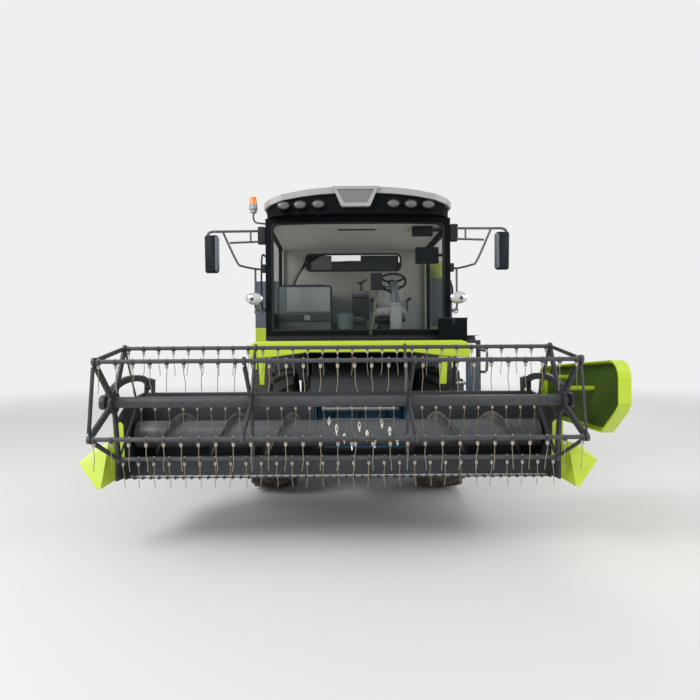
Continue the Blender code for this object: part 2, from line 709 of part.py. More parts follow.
def build_feeder():
    """Make the feeder house with its open mouth, pivot shaft and cylinder lugs."""
    face = BACK_Y + BEAM_SIZE + GAP
    top_y, top_z = FEEDER_PIVOT_Y, FEEDER_PIVOT_Z
    outline = [(face, 0.72), (face, 1.34)]
    outline += arc(top_y, top_z, FEEDER_END_RADIUS, 110, -70, 9)
    house = prism(outline, "X", MACHINE_X - FEEDER_HALF, MACHINE_X + FEEDER_HALF)
    shaft_end = RAIL_IN - GAP
    additions = [rod("X", top_y, top_z, 0.05, MACHINE_X - shaft_end, MACHINE_X + shaft_end, 12)]
    clevis = [(LIFT_EYE_Y - 0.09, 0.90), (LIFT_EYE_Y - 0.03, LIFT_EYE_Z - 0.05),
              (LIFT_EYE_Y + 0.03, LIFT_EYE_Z - 0.05), (LIFT_EYE_Y + 0.12, 1.0)]
    for side in (-1, 1):
        for offset in (-1, 1):
            middle = MACHINE_X + side * LIFT_X + offset * (LIFT_EYE_THICK + LUG_THICK + 2 * GAP) / 2
            additions.append(prism(clevis, "X", middle - LUG_THICK / 2, middle + LUG_THICK / 2))
    join(house, *additions)
    mouth = box(MACHINE_X - FEED_HALF, MACHINE_X + FEED_HALF, face - 0.1, face + 0.35, FEED_LOW, FEED_HIGH)
    notches = []
    for side in (-1, 1):
        middle = MACHINE_X + side * LIFT_X
        half = LIFT_EYE_THICK / 2 + GAP
        notches.append(box(middle - half, middle + half, LIFT_EYE_Y - 0.12, LIFT_EYE_Y + 0.12,
                           LIFT_EYE_Z - 0.1, LIFT_EYE_Z + 0.085))
    cut(house, mouth, *notches)
    node("feeder_house", house, "charcoal_paint", (MACHINE_X, top_y, top_z), 35)


def build_lift_cylinders():
    """Make the two header lift cylinders, each a barrel on the axle and a rod on the feeder."""
    base = Vector((0, LIFT_BASE_Y, LIFT_BASE_Z))
    eye = Vector((0, LIFT_EYE_Y, LIFT_EYE_Z))
    along = (eye - base).normalized()
    half = LIFT_EYE_THICK / 2
    for side, name in ((-1, "R"), (1, "L")):
        x = MACHINE_X + side * LIFT_X
        shift = Vector((x, 0, 0))
        barrel = tube([shift + base + along * 0.085, shift + base + along * LIFT_BARREL_LENGTH],
                      LIFT_BARREL_RADIUS, 12)
        neck = tube([shift + base, shift + base + along * 0.11], LIFT_ROD_RADIUS, 8)
        join(barrel, neck, rod("X", LIFT_BASE_Y, LIFT_BASE_Z, LIFT_EYE_RADIUS, x - half, x + half, 12))
        bore_end = base + along * (LIFT_BARREL_LENGTH + 0.05)
        bore_radius = (LIFT_ROD_RADIUS + GAP) / math.cos(math.pi / 12)
        cut(barrel, tube([shift + base + along * 0.12, shift + bore_end], bore_radius, 12))
        node(f"lift_barrel_{name}", barrel, "charcoal_paint", (x, LIFT_BASE_Y, LIFT_BASE_Z), 35)
        reach = (eye - base).length
        ram = tube([shift + base + along * 0.40, shift + base + along * reach], LIFT_ROD_RADIUS, 12)
        join(ram, rod("X", LIFT_EYE_Y, LIFT_EYE_Z, LIFT_EYE_RADIUS, x - half, x + half, 12))
        node(f"lift_rod_{name}", ram, "bright_steel", (x, LIFT_EYE_Y, LIFT_EYE_Z), 35)


def build_tyre(name, x, y, radius, width, rim_radius, lug_height, lug_count, pivot):
    """Make a tractor-tread tyre as one skin: lugs rise from a carcass turned round the rim.

    Four rows of points make one pitch. On one half of the tread the lug stands on the middle
    two rows, and on the other half on the outer two, so the two sides' lugs alternate.
    """
    base = radius - lug_height
    bulge = 0.5 * (rim_radius + base)
    half = width / 2
    columns = [
        # share of the half width, carcass radius, lug radius, slant in pitches
        (-0.82, rim_radius, rim_radius, 0.0), (-1.0, bulge, bulge, 0.0),
        (-0.93, base * 0.94, base * 0.94, 0.0), (-0.88, base * 0.955, radius * 0.975, 0.0),
        (-0.03, base, radius, 0.85), (0.03, base, radius, 0.85),
        (0.88, base * 0.955, radius * 0.975, 0.0), (0.93, base * 0.94, base * 0.94, 0.0),
        (1.0, bulge, bulge, 0.0), (0.82, rim_radius, rim_radius, 0.0),
    ]
    rows = (0.0, LUG_RAMP, 0.5, 0.5 + LUG_RAMP)
    pitch = 2 * math.pi / lug_count
    rings = []
    for share, low, high, slant in columns:
        ring = []
        for i in range(lug_count):
            for row, place in enumerate(rows):
                lug = row in (1, 2) if share < 0 else row in (0, 3)
                t = (i + place + slant) * pitch - math.pi / 2
                r = high if lug else low
                ring.append((x + share * half, y + r * math.cos(t), radius + r * math.sin(t)))
        rings.append(ring)
    node(name, rings_to_piece(rings, closed=True), "tyre_rubber", pivot, 35)


def build_rim(name, x, y, radius, width, wheel_radius, lug_count, outer_side, pivot):
    """Make a dished wheel as one turned shape: hub, disc, rim barrel and hub cap."""
    half = width / 2 * 0.80
    s = outer_side
    w = wheel_radius
    tread = w * math.cos(LUG_WIDEST * math.pi / lug_count) - GAP
    profile = [
        # radius, place outwards from the wheel's middle plane
        (w * 0.34, -0.10), (w * 0.34, 0.075), (w * 0.51, 0.065), (tread - 0.05, 0.02),
        (tread - 0.02, -half - 0.012), (tread, -half), (tread, half), (tread - 0.02, half + 0.012),
        (tread - 0.03, 0.05), (w * 0.51, 0.085), (w * 0.46, 0.145), (w * 0.24, 0.147), (w * 0.19, 0.20),
    ]
    rim = turned([(r, x + s * a) for r, a in profile], "X", y, radius, 15)
    node(name, rim, "rim_paint", pivot, 35)


def build_running_gear():
    """Make both axles, the steering knuckles, the wheels and their tyres."""
    reach = FRONT_TRACK / 2
    z = FRONT_TYRE_RADIUS
    beam = box(MACHINE_X - 0.76, MACHINE_X + 0.76, FRONT_AXLE_Y - 0.11, FRONT_AXLE_Y + 0.11, z - 0.13, z + 0.13)
    additions = []
    for side in (-1, 1):
        hub_face = MACHINE_X + side * (reach - 0.10 - GAP)
        low, high = sorted((MACHINE_X + side * 0.70, hub_face))
        additions.append(rod("X", FRONT_AXLE_Y, z, 0.125, low, high, 12))
        low, high = sorted((MACHINE_X + side * 0.66, MACHINE_X + side * 0.80))
        case = [(FRONT_AXLE_Y - 0.17, z - 0.17), (FRONT_AXLE_Y + 0.17, z - 0.17),
                (FRONT_AXLE_Y + 0.20, z + 0.12), (FRONT_AXLE_Y - 0.20, z + 0.12)]
        additions.append(prism(case, "X", low, high))
        for offset in (-1, 1):
            middle = MACHINE_X + side * LIFT_X + offset * (LIFT_EYE_THICK + LUG_THICK + 2 * GAP) / 2
            lug = [(FRONT_AXLE_Y - 0.05, z - 0.05), (LIFT_BASE_Y - 0.05, LIFT_BASE_Z + 0.03),
                   (LIFT_BASE_Y - 0.05, LIFT_BASE_Z - 0.05), (FRONT_AXLE_Y + 0.02, LIFT_BASE_Z - 0.02)]
            additions.append(prism(lug, "X", middle - LUG_THICK / 2, middle + LUG_THICK / 2))
    join(beam, *additions)
    node("front_axle", beam, "charcoal_paint", None, 35)
    for side, name in ((-1, "R"), (1, "L")):
        x = MACHINE_X + side * reach
        pivot = (x, FRONT_AXLE_Y, z)
        build_tyre(f"front_tyre_{name}", x, FRONT_AXLE_Y, FRONT_TYRE_RADIUS, FRONT_TYRE_WIDTH,
                   FRONT_RIM_RADIUS, LUG_HEIGHT_FRONT, FRONT_LUGS, pivot)
        build_rim(f"front_rim_{name}", x, FRONT_AXLE_Y, z, FRONT_TYRE_WIDTH, FRONT_RIM_RADIUS,
                  FRONT_LUGS, side, pivot)
    build_rear_axle()


def build_rear_axle():
    """Make the steered rear axle: its beam, two knuckles on kingpins, wheels and tyres."""
    z = REAR_TYRE_RADIUS
    y = REAR_AXLE_Y
    fork = KINGPIN_X - 0.05
    beam = hull([(MACHINE_X + sx * fx, y + sy * 0.07, fz) for sx in (-1, 1) for sy in (-1, 1)
                 for fx, fz in ((fork, z - 0.045), (fork, z + 0.045), (0.14, z + 0.14), (0.14, z - 0.02))])
    additions = [rod("Z", MACHINE_X + s * KINGPIN_X, y, 0.07, z - 0.06, z + 0.06, 12) for s in (-1, 1)]
    join(beam, *additions)
    bore = (KINGPIN_RADIUS + BEARING_GAP) / math.cos(math.pi / 12)
    cut(beam, *[rod("Z", MACHINE_X + s * KINGPIN_X, y, bore, z - 0.1, z + 0.1, 12, math.pi / 12)
                for s in (-1, 1)])
    node("rear_axle", beam, "charcoal_paint", None, 35)
    for side, name in ((-1, "R"), (1, "L")):
        pin_x = MACHINE_X + side * KINGPIN_X
        wheel_x = MACHINE_X + side * REAR_TRACK / 2
        pin = rod("Z", pin_x, y, KINGPIN_RADIUS, z - 0.11, z + 0.11, 12)
        low, high = sorted((pin_x - side * 0.03, pin_x + side * 0.11))
        jaws = [box(low, high, y - 0.05, y + 0.05, a, b) for a, b in
                ((z + 0.06 + GAP, z + 0.095), (z - 0.095, z - 0.06 - GAP))]
        low, high = sorted((pin_x + side * 0.08, pin_x + side * 0.115))
        plate = box(low, high, y - 0.06, y + 0.06, z - 0.095, z + 0.095)
        low, high = sorted((pin_x + side * 0.11, wheel_x - side * (0.10 + GAP)))
        stub = rod("X", y, z, 0.06, low, high, 12)
        join(pin, *jaws, plate, stub)
        node(f"rear_knuckle_{name}", pin, "charcoal_paint", (pin_x, y, z), 35)
        pivot = (wheel_x, y, z)
        build_tyre(f"rear_tyre_{name}", wheel_x, y, REAR_TYRE_RADIUS, REAR_TYRE_WIDTH,
                   REAR_RIM_RADIUS, LUG_HEIGHT_REAR, REAR_LUGS, pivot)
        build_rim(f"rear_rim_{name}", wheel_x, y, z, REAR_TYRE_WIDTH, REAR_RIM_RADIUS,
                  REAR_LUGS, side, pivot)


def build_chassis():
    """Make the main frame: two side plates, cross members, cab arms and the axle seats."""
    axle_top = FRONT_TYRE_RADIUS + 0.13
    back = STRAW_BACK_Y - 0.15
    plate = [
        (FRONT_AXLE_Y - 0.10, axle_top + GAP), (FRONT_AXLE_Y + 0.10, axle_top + GAP),
        (FRONT_AXLE_Y + 0.28, RAIL_LOW), (back, RAIL_LOW), (back, RAIL_HIGH),
        (FEEDER_PIVOT_Y + 0.50, RAIL_HIGH), (FEEDER_PIVOT_Y + 0.42, CAB_FLOOR_LOW - GAP),
        (BUMPER_Y + BUMPER_DEPTH + 0.02, CAB_FLOOR_LOW - GAP), (BUMPER_Y + BUMPER_DEPTH + 0.02, 1.86),
        (FRONT_AXLE_Y - 0.30, 1.80), (FRONT_AXLE_Y - 0.10, 1.55),
    ]
    frame = prism(plate, "X", MACHINE_X + RAIL_IN, MACHINE_X + RAIL_IN + RAIL_THICK)
    reach = RAIL_IN + 0.03
    cross = [
        # y centre, depth, low, high
        (BUMPER_Y + BUMPER_DEPTH + 0.08, 0.10, 1.87, 1.95),
        (REAR_AXLE_Y, 0.24, RAIL_LOW + 0.01, RAIL_HIGH - 0.01),
        (back - 0.08, 0.08, RAIL_LOW + 0.01, RAIL_HIGH - 0.01),
    ]
    additions = [mirrored(frame, MACHINE_X)]
    for y, depth, low, high in cross:
        additions.append(box(MACHINE_X - reach, MACHINE_X + reach, y - depth / 2, y + depth / 2, low, high))
    seat_low = REAR_TYRE_RADIUS + 0.14 + GAP
    seat = hull([(MACHINE_X + sx * w, REAR_AXLE_Y + sy * d, h) for sx in (-1, 1) for sy in (-1, 1)
                 for w, d, h in ((0.13, 0.07, seat_low), (0.30, 0.11, RAIL_LOW + 0.02))])
    additions.append(seat)
    join(frame, *additions)
    node("chassis_frame", frame, "charcoal_paint", None)


def build_body():
    """Make the threshing body, tank, engine, hoods, side panels and straw spreader."""
    body_front = FEEDER_PIVOT_Y + FEEDER_END_RADIUS + 0.02
    half = RAIL_IN - GAP
    outline = [(body_front, 1.25), (body_front, CAB_FLOOR_LOW - 0.05),
               (CAB_BACK_Y + 0.02, CAB_FLOOR_LOW - 0.05), (CAB_BACK_Y + 0.04, BODY_TOP),
               (BODY_BACK_Y, BODY_TOP), (BODY_BACK_Y, RAIL_LOW + 0.1), (BODY_BACK_Y - 0.5, 0.98),
               (body_front + 0.5, 0.98)]
    threshing = prism(outline, "X", MACHINE_X - half, MACHINE_X + half)
    node("threshing_body", threshing, "slate_paint")
    build_tank()
    block = box(MACHINE_X - 0.42, MACHINE_X + 0.42, TANK_BACK_Y + 0.14, BODY_BACK_Y - 0.12,
                BODY_TOP + GAP, BODY_TOP + 0.62)
    node("engine_block", block, "cast_engine")
    build_hoods()
    for side, name in ((1, "L"), (-1, "R")):
        build_side(side, name)


def build_tank():
    """Make the grain tank: an open box with a sloped floor, and the unloader's collar."""
    low = BODY_TOP + GAP
    m = MACHINE_X
    tank = box(m - TANK_HALF, m + TANK_HALF, TANK_FRONT_Y, TANK_BACK_Y, low, TANK_TOP)
    hollow = hull([(m + sx * x, y, z) for sx in (-1, 1)
                   for x, y, z in (
                       (0.35, TANK_FRONT_Y + 0.30, low + 0.06), (0.35, TANK_BACK_Y - 0.30, low + 0.06),
                       (TANK_HALF - TANK_WALL, TANK_FRONT_Y + TANK_WALL, low + 0.55),
                       (TANK_HALF - TANK_WALL, TANK_BACK_Y - TANK_WALL, low + 0.55),
                       (TANK_HALF - TANK_WALL, TANK_FRONT_Y + TANK_WALL, TANK_TOP + 0.1),
                       (TANK_HALF - TANK_WALL, TANK_BACK_Y - TANK_WALL, TANK_TOP + 0.1))])
    cut(tank, hollow)
    join(tank, rod("Z", m + UNLOADER_X, UNLOADER_Y, UNLOADER_RADIUS + 0.02, SIDE_TOP + 2 * GAP, SIDE_TOP + 0.05, 14),
         box(m + TANK_HALF - 0.01, m + UNLOADER_X, UNLOADER_Y - 0.08, UNLOADER_Y + 0.08,
             SIDE_TOP + 2 * GAP, SIDE_TOP + 0.045))
    node("grain_tank", tank, "slate_paint", None, 35)
    for side, name in ((1, "L"), (-1, "R")):
        edge = m + side * TANK_HALF
        ridge = m + side * 0.004
        base = TANK_TOP + GAP
        section = [(edge, base), (edge, base + LID_THICK), (m + side * 0.55, base + LID_RISE * 0.75),
                   (ridge, base + LID_RISE), (ridge, base + LID_RISE - LID_THICK),
                   (m + side * 0.55, base + LID_RISE * 0.75 - LID_THICK), (m + side * (TANK_HALF - 0.05), base)]
        lid = prism(section, "Y", TANK_FRONT_Y, TANK_BACK_Y)
        node(f"tank_lid_{name}", lid, "slate_paint", (edge, (TANK_FRONT_Y + TANK_BACK_Y) / 2, base))
    build_unloader()


def build_unloader():
    """Make the unloading tube with its elbow, folded back along the machine's left."""
    x = MACHINE_X + UNLOADER_X
    z = UNLOADER_Z
    r = UNLOADER_RADIUS
    base = SIDE_TOP + 0.05 + GAP
    bend = [(x, UNLOADER_Y, base + 0.02)]
    bend += [(x, UNLOADER_Y + 0.17 + 0.17 * math.cos(t), z - 0.17 + 0.17 * math.sin(t))
             for t in (math.pi, math.pi * 0.83, math.pi * 0.67, math.pi / 2)]
    end_y = REAR_Y - 0.36
    pipe = tube(bend + [(x, end_y, z)], r, 14)
    spout = tube([(x, end_y - 0.05, z), (x, end_y + 0.12, z - 0.04), (x, end_y + 0.20, z - 0.20)], r * 1.02, 10)
    flange = rod("Z", x, UNLOADER_Y, r + 0.02, base, base + 0.04, 14)
    join(pipe, spout, flange)
    node("unloader_tube", pipe, "lime_paint", (x, UNLOADER_Y, z), 35)


def build_hoods():
    """Make the engine hood, the straw hood and the straw spreader at the back."""
    m = MACHINE_X
    low = SIDE_TOP + GAP
    outline = [(TANK_BACK_Y + 0.02, BODY_TOP + 0.3), (TANK_BACK_Y + 0.02, HOOD_TOP),
               (HOOD_BACK_Y - 0.35, HOOD_TOP), (HOOD_BACK_Y, HOOD_TOP - 0.30), (HOOD_BACK_Y, BODY_TOP + 0.3)]
    hood = prism(outline, "X", m - TANK_HALF, m + TANK_HALF)
    t = PANEL
    inner = [(TANK_BACK_Y + 0.02 + t, BODY_TOP), (TANK_BACK_Y + 0.02 + t, HOOD_TOP - t),
             (HOOD_BACK_Y - 0.35 - t / 2, HOOD_TOP - t), (HOOD_BACK_Y - t, HOOD_TOP - 0.30 - t / 2),
             (HOOD_BACK_Y - t, BODY_TOP)]
    cut(hood, prism(inner, "X", m - TANK_HALF + t, m + TANK_HALF - t))
    node("engine_hood", hood, "slate_paint")
    back = STRAW_BACK_Y
    shell = [(BODY_BACK_Y + GAP, RAIL_HIGH + GAP), (BODY_BACK_Y + GAP, BODY_TOP + 0.28),
             (HOOD_BACK_Y + 0.10, BODY_TOP + 0.28), (back - 0.20, 2.20), (back, 1.62), (back, RAIL_HIGH + GAP)]
    straw = prism(shell, "X", m - STRAW_HALF, m + STRAW_HALF)
    hollow = [(BODY_BACK_Y + 0.05, RAIL_HIGH - 0.1), (BODY_BACK_Y + 0.05, BODY_TOP + 0.10),
              (HOOD_BACK_Y + 0.08, BODY_TOP + 0.10), (back - 0.24, 2.10), (back - 0.04, 1.60),
              (back - 0.04, RAIL_HIGH - 0.1)]
    cut(straw, prism(hollow, "X", m - STRAW_HALF + 0.03, m + STRAW_HALF - 0.03))
    node("straw_hood", straw, "slate_paint")
    front = back + GAP
    case = [(front, 1.62), (front, 1.16), (REAR_Y - 0.06, 0.98), (REAR_Y, 1.04), (REAR_Y - 0.02, 1.20)]
    spreader = prism(case, "X", m - 0.62, m + 0.62)
    vanes = [box(m + x - 0.008, m + x + 0.008, front + 0.04, REAR_Y - 0.05, 0.90, 1.12)
             for x in (-0.5, -0.3, -0.1, 0.1, 0.3, 0.5)]
    join(spreader, *vanes)
    node("straw_spreader", spreader, "charcoal_paint")


def build_side(side, name):
    """Make one side's panels: a flanged shell beside the body with an arch for the wheel."""
    m = MACHINE_X
    t = PANEL

    def span(a, b):
        return sorted((m + side * a, m + side * b))

    low_x, high_x = span(RAIL_IN + RAIL_THICK + GAP, SIDE_HALF)
    shell = box(low_x, high_x, SIDE_FRONT_Y, SIDE_BACK_Y, SIDE_LOW, SIDE_TOP)
    inner_x = span(0.3, SIDE_HALF - t)
    hollow = box(*inner_x, SIDE_FRONT_Y + t, SIDE_BACK_Y - t, SIDE_LOW - 0.1, SIDE_TOP - t)
    tank_x = span(0.3, TANK_HALF + GAP)
    above = box(*tank_x, SIDE_FRONT_Y + t + 0.01, SIDE_BACK_Y + 0.1, BODY_TOP - 0.02, SIDE_TOP + 0.1)
    arch_x = span(0.3, SIDE_HALF + 0.1)
    arch = rod("X", FRONT_AXLE_Y, FRONT_TYRE_RADIUS, FRONT_TYRE_RADIUS + ARCH_CLEAR, *arch_x, 40)
    lower = prism([(SIDE_BACK_Y - 1.2, SIDE_LOW - 0.1), (SIDE_BACK_Y - 0.9, SIDE_LOW + 0.22),
                   (SIDE_BACK_Y + 0.1, SIDE_LOW + 0.34), (SIDE_BACK_Y + 0.1, SIDE_LOW - 0.1)], "X", *arch_x)
    cut(shell, hollow, above, arch, lower)
    node(f"side_panel_{name}", shell, "slate_paint")


def build_cab():
    """Make the cab: floor, frame of posts, glass, door, roof with its visor, and fittings."""
    m = MACHINE_X
    floor = prism(cab_plan(0.0, CAB_BACK_Y), "Z", CAB_FLOOR_LOW, CAB_FLOOR_HIGH)
    node("cab_floor", floor, "black_trim")
    base = CAB_FLOOR_HIGH + GAP
    shell = prism(cab_plan(0.0, CAB_BACK_Y), "Z", base, CAB_EAVES)
    wall = 0.05
    room = prism(cab_plan(wall, CAB_BACK_Y - wall), "Z", base - 0.1, CAB_EAVES - 0.06)
    front = box(m - CAB_HALF + POST, m + CAB_HALF - POST, CAB_FRONT_Y - 0.2, CAB_FRONT_Y + 0.16,
                CAB_GLASS_LOW, CAB_EAVES - 0.07)
    side_low, side_high = CAB_FRONT_Y + CAB_BOW + POST, CAB_BACK_Y - POST
    door_hole = box(m + CAB_HALF - 0.12, m + CAB_HALF + 0.1, side_low, side_high, base - 0.1, CAB_EAVES - 0.07)
    side_hole = box(m - CAB_HALF - 0.1, m - CAB_HALF + 0.12, side_low, side_high, CAB_GLASS_LOW + 0.25,
                    CAB_EAVES - 0.07)
    back_hole = box(m + REAR_GLASS_X[0], m + REAR_GLASS_X[1], CAB_BACK_Y - 0.1, CAB_BACK_Y + 0.1,
                    *REAR_GLASS_Z)
    roof_hole = prism(cab_plan(0.12, CAB_BACK_Y - 0.12), "Z", CAB_EAVES - 0.1, CAB_EAVES + 0.1)
    cut(shell, room, front, door_hole, side_hole, back_hole, roof_hole)
    join(shell, *[part for place in MONITORS for part in monitor(*place)])
    node("cab_frame", shell, "black_trim", None, 35)
    build_glass(side_low, side_high)
    build_roof()
    build_interior()


def monitor(left, right, low, high):
    """Make one monitor and the arm that carries it from the left front post."""
    m = MACHINE_X
    y = CAB_FRONT_Y + CAB_BOW + MONITOR_BACK
    middle = (low + high) / 2
    screen = box(m + left, m + right, y, y + 0.07, low, high)
    arm = box(m + right - 0.02, m + CAB_HALF - 0.03, y + 0.002, y + 0.03, middle - 0.015, middle + 0.015)
    return screen, arm


def cab_plan(inset, back_y):
    """Outline the cab from above: square at the back, a shallow bow across the front."""
    m = MACHINE_X
    half = CAB_HALF - inset
    front = CAB_FRONT_Y + inset
    out = [(m + half, back_y), (m + half, front + CAB_BOW)]
    steps = 6
    for i in range(1, steps):
        share = 1 - 2 * i / steps
        out.append((m + half * share, front + CAB_BOW * share * share))
    out += [(m - half, front + CAB_BOW), (m - half, back_y)]
    return out


def bowed_pane(inset, thickness, half, low, high):
    """Make a pane that follows the cab's bowed front, a given distance in from it."""
    m = MACHINE_X
    steps = 8
    outer, inner = [], []
    for i in range(steps + 1):
        share = (1 - 2 * i / steps) * half / CAB_HALF
        y = CAB_FRONT_Y + inset + CAB_BOW * share * share
        outer.append((m + CAB_HALF * share, y))
        inner.append((m + CAB_HALF * share, y + thickness))
    return prism(outer + inner[::-1], "Z", low, high)


def build_glass(side_low, side_high):
    """Make the windshield, the right and rear windows, and the left door with its pane."""
    m = MACHINE_X
    clear = 2 * GAP
    pane = bowed_pane(0.012, GLASS, CAB_HALF - POST - clear, CAB_GLASS_LOW + clear, CAB_EAVES - 0.07 - clear)
    node("windshield", pane, "tinted_glass", None, 35)
    x = m - CAB_HALF + 0.012
    pane = box(x, x + GLASS, side_low + clear, side_high - clear, CAB_GLASS_LOW + 0.25 + clear,
               CAB_EAVES - 0.07 - clear)
    node("side_window", pane, "tinted_glass")
    y = CAB_BACK_Y - 0.03
    pane = box(m + REAR_GLASS_X[0] + clear, m + REAR_GLASS_X[1] - clear, y, y + GLASS,
               REAR_GLASS_Z[0] + clear, REAR_GLASS_Z[1] - clear)
    node("rear_window", pane, "tinted_glass")
    gap = 0.0006
    low, high = CAB_FLOOR_HIGH + 2 * GAP, CAB_EAVES - 0.07 - gap
    leaf = box(m + CAB_HALF - 0.035, m + CAB_HALF, side_low + gap, side_high - gap, low, high)
    frame = 0.06
    cut(leaf, box(m + CAB_HALF - 0.1, m + CAB_HALF + 0.1, side_low + frame, side_high - frame,
                  low + frame, high - frame))
    hinge = (m + CAB_HALF, side_high, (low + high) / 2)
    node("cab_door", leaf, "black_trim", hinge)
    x = m + CAB_HALF - 0.022
    pane = box(x, x + GLASS, side_low + frame + clear, side_high - frame - clear,
               low + frame + clear, high - frame - clear)
    node("door_glass", pane, "tinted_glass", hinge)


def roof_plan(inset, back_y):
    """Outline the roof from above, with a bowed front edge and rounded front corners."""
    m = MACHINE_X
    half = ROOF_HALF - inset
    front = ROOF_FRONT_Y + inset
    out = [(m + half, back_y), (m + half, front + 0.26)]
    for share in (0.93, 0.8, 0.5, 0.0, -0.5, -0.8, -0.93):
        out.append((m + half * share, front + 0.10 * share * share + 0.05 * max(0.0, abs(share) - 0.8) / 0.13))
    out += [(m - half, front + 0.26), (m - half, back_y)]
    return out


def build_roof():
    """Make the white roof shell, domed across, and the black visor with six lamp bosses."""
    m = MACHINE_X
    back = CAB_BACK_Y + 0.06
    roof = prism(roof_plan(0.0, back), "Z", VISOR_LOW + 0.10, ROOF_TOP)
    crown = []
    for i in range(13):
        share = 1 - i / 6
        crown.append((m + 1.2 * ROOF_HALF * share, ROOF_TOP - ROOF_DROP * abs(1.2 * share) ** 2.4))
    crown += [(m - 1.2 * ROOF_HALF, ROOF_TOP + 0.2), (m + 1.2 * ROOF_HALF, ROOF_TOP + 0.2)]
    cut(roof, prism(crown, "Y", ROOF_FRONT_Y - 0.2, back + 0.2))
    under = []
    for i in range(13):
        share = 1 - i / 6
        under.append((m + 1.2 * ROOF_HALF * share, ROOF_TOP - RIM_DEPTH - ROOF_DROP * abs(1.2 * share) ** 2.4))
    under += [(m - 1.2 * ROOF_HALF, VISOR_LOW - 0.1), (m + 1.2 * ROOF_HALF, VISOR_LOW - 0.1)]
    cut(roof, prism(under, "Y", ROOF_FRONT_Y - 0.2, back + 0.2))
    node("cab_roof", roof, "roof_white", None, 35)
    lining = prism(roof_plan(0.03, CAB_BACK_Y), "Z", CAB_EAVES + GAP, ROOF_TOP)
    lid = [(u, v - GAP) for u, v in under[:13]]
    lid += [(m - 1.2 * ROOF_HALF, ROOF_TOP + 0.2), (m + 1.2 * ROOF_HALF, ROOF_TOP + 0.2)]
    cut(lining, prism(lid, "Y", ROOF_FRONT_Y - 0.2, back + 0.2))
    lamps = [rod("Y", m + x, LAMP_Z - 0.027 * x * x, LAMP_RADIUS, ROOF_FRONT_Y + 0.02, ROOF_FRONT_Y + 0.24, 10)
             for x in LAMP_PLACES]
    join(lining, *lamps)
    node("roof_visor", lining, "black_trim", None, 35)


def build_interior():
    """Make the driver's seat, the steering column with its wheel and the side console."""
    m = MACHINE_X
    floor = CAB_FLOOR_HIGH + GAP
    seat_x, seat_y = m + SEAT_X, CAB_FRONT_Y + SEAT_BACK
    seat = box(seat_x - 0.16, seat_x + 0.16, seat_y - 0.16, seat_y + 0.16, floor, floor + 0.30)
    cushion = prism([(seat_y - 0.27, floor + 0.28), (seat_y + 0.24, floor + 0.25), (seat_y + 0.24, floor + 0.38),
                     (seat_y - 0.24, floor + 0.40)], "X", seat_x - 0.26, seat_x + 0.26)
    rest = prism([(seat_y + 0.16, floor + 0.34), (seat_y + 0.28, floor + 0.34), (seat_y + 0.38, floor + 0.98),
                  (seat_y + 0.28, floor + 1.0)], "X", seat_x - 0.24, seat_x + 0.24)
    join(seat, cushion, rest)
    node("driver_seat", seat, "seat_fabric")
    wheel_y, wheel_z = CAB_FRONT_Y + 0.48, floor + 0.76
    column = tube([(seat_x, wheel_y - 0.16, floor), (seat_x, wheel_y - 0.16, floor + 0.12),
                   (seat_x, wheel_y - 0.10, floor + 0.45),
                   (seat_x, wheel_y, wheel_z + 0.005)], 0.05, 10)
    tilt = math.radians(28)
    ring, section, steps = [], 5, 14
    for i in range(steps):
        t = 2 * math.pi * i / steps
        centre = Vector((seat_x + 0.20 * math.cos(t), wheel_y + 0.20 * math.sin(t) * math.cos(tilt),
                         wheel_z + 0.20 * math.sin(t) * math.sin(tilt) * -1))
        out = Vector((math.cos(t), math.sin(t) * math.cos(tilt), -math.sin(t) * math.sin(tilt)))
        up = Vector((0, math.sin(tilt), math.cos(tilt)))
        ring.append([centre + 0.014 * (math.cos(2 * math.pi * j / section) * out
                                       + math.sin(2 * math.pi * j / section) * up) for j in range(section)])
    rim = rings_to_piece(ring, closed=True)
    spoke = [tube([(seat_x, wheel_y, wheel_z - 0.02), (seat_x + 0.20 * math.cos(t),
             wheel_y + 0.20 * math.sin(t) * math.cos(tilt), wheel_z - 0.20 * math.sin(t) * math.sin(tilt))], 0.011, 6)
             for t in (math.pi / 2, math.pi * 7 / 6, math.pi * 11 / 6)]
    join(column, rim, *spoke)
    node("steering_column", column, "black_trim", None, 35)
    left = m - CAB_HALF + CONSOLE_OUT
    right = left + CONSOLE_WIDTH
    console = box(left, right, CAB_FRONT_Y + 0.75, CAB_FRONT_Y + 1.45, floor, floor + CONSOLE_HEIGHT)
    # the second seat folds down beside the console
    bench = box(right - 0.02, right + SECOND_SEAT_WIDTH, CAB_FRONT_Y + 1.02, CAB_FRONT_Y + 1.45,
                floor, floor + 0.24)
    rest = box(right + SECOND_SEAT_WIDTH * 0.45, right + SECOND_SEAT_WIDTH, CAB_FRONT_Y + 1.33,
               CAB_FRONT_Y + 1.43, floor + 0.2, floor + 0.63)
    join(console, bench, rest)
    node("side_console", console, "black_trim")


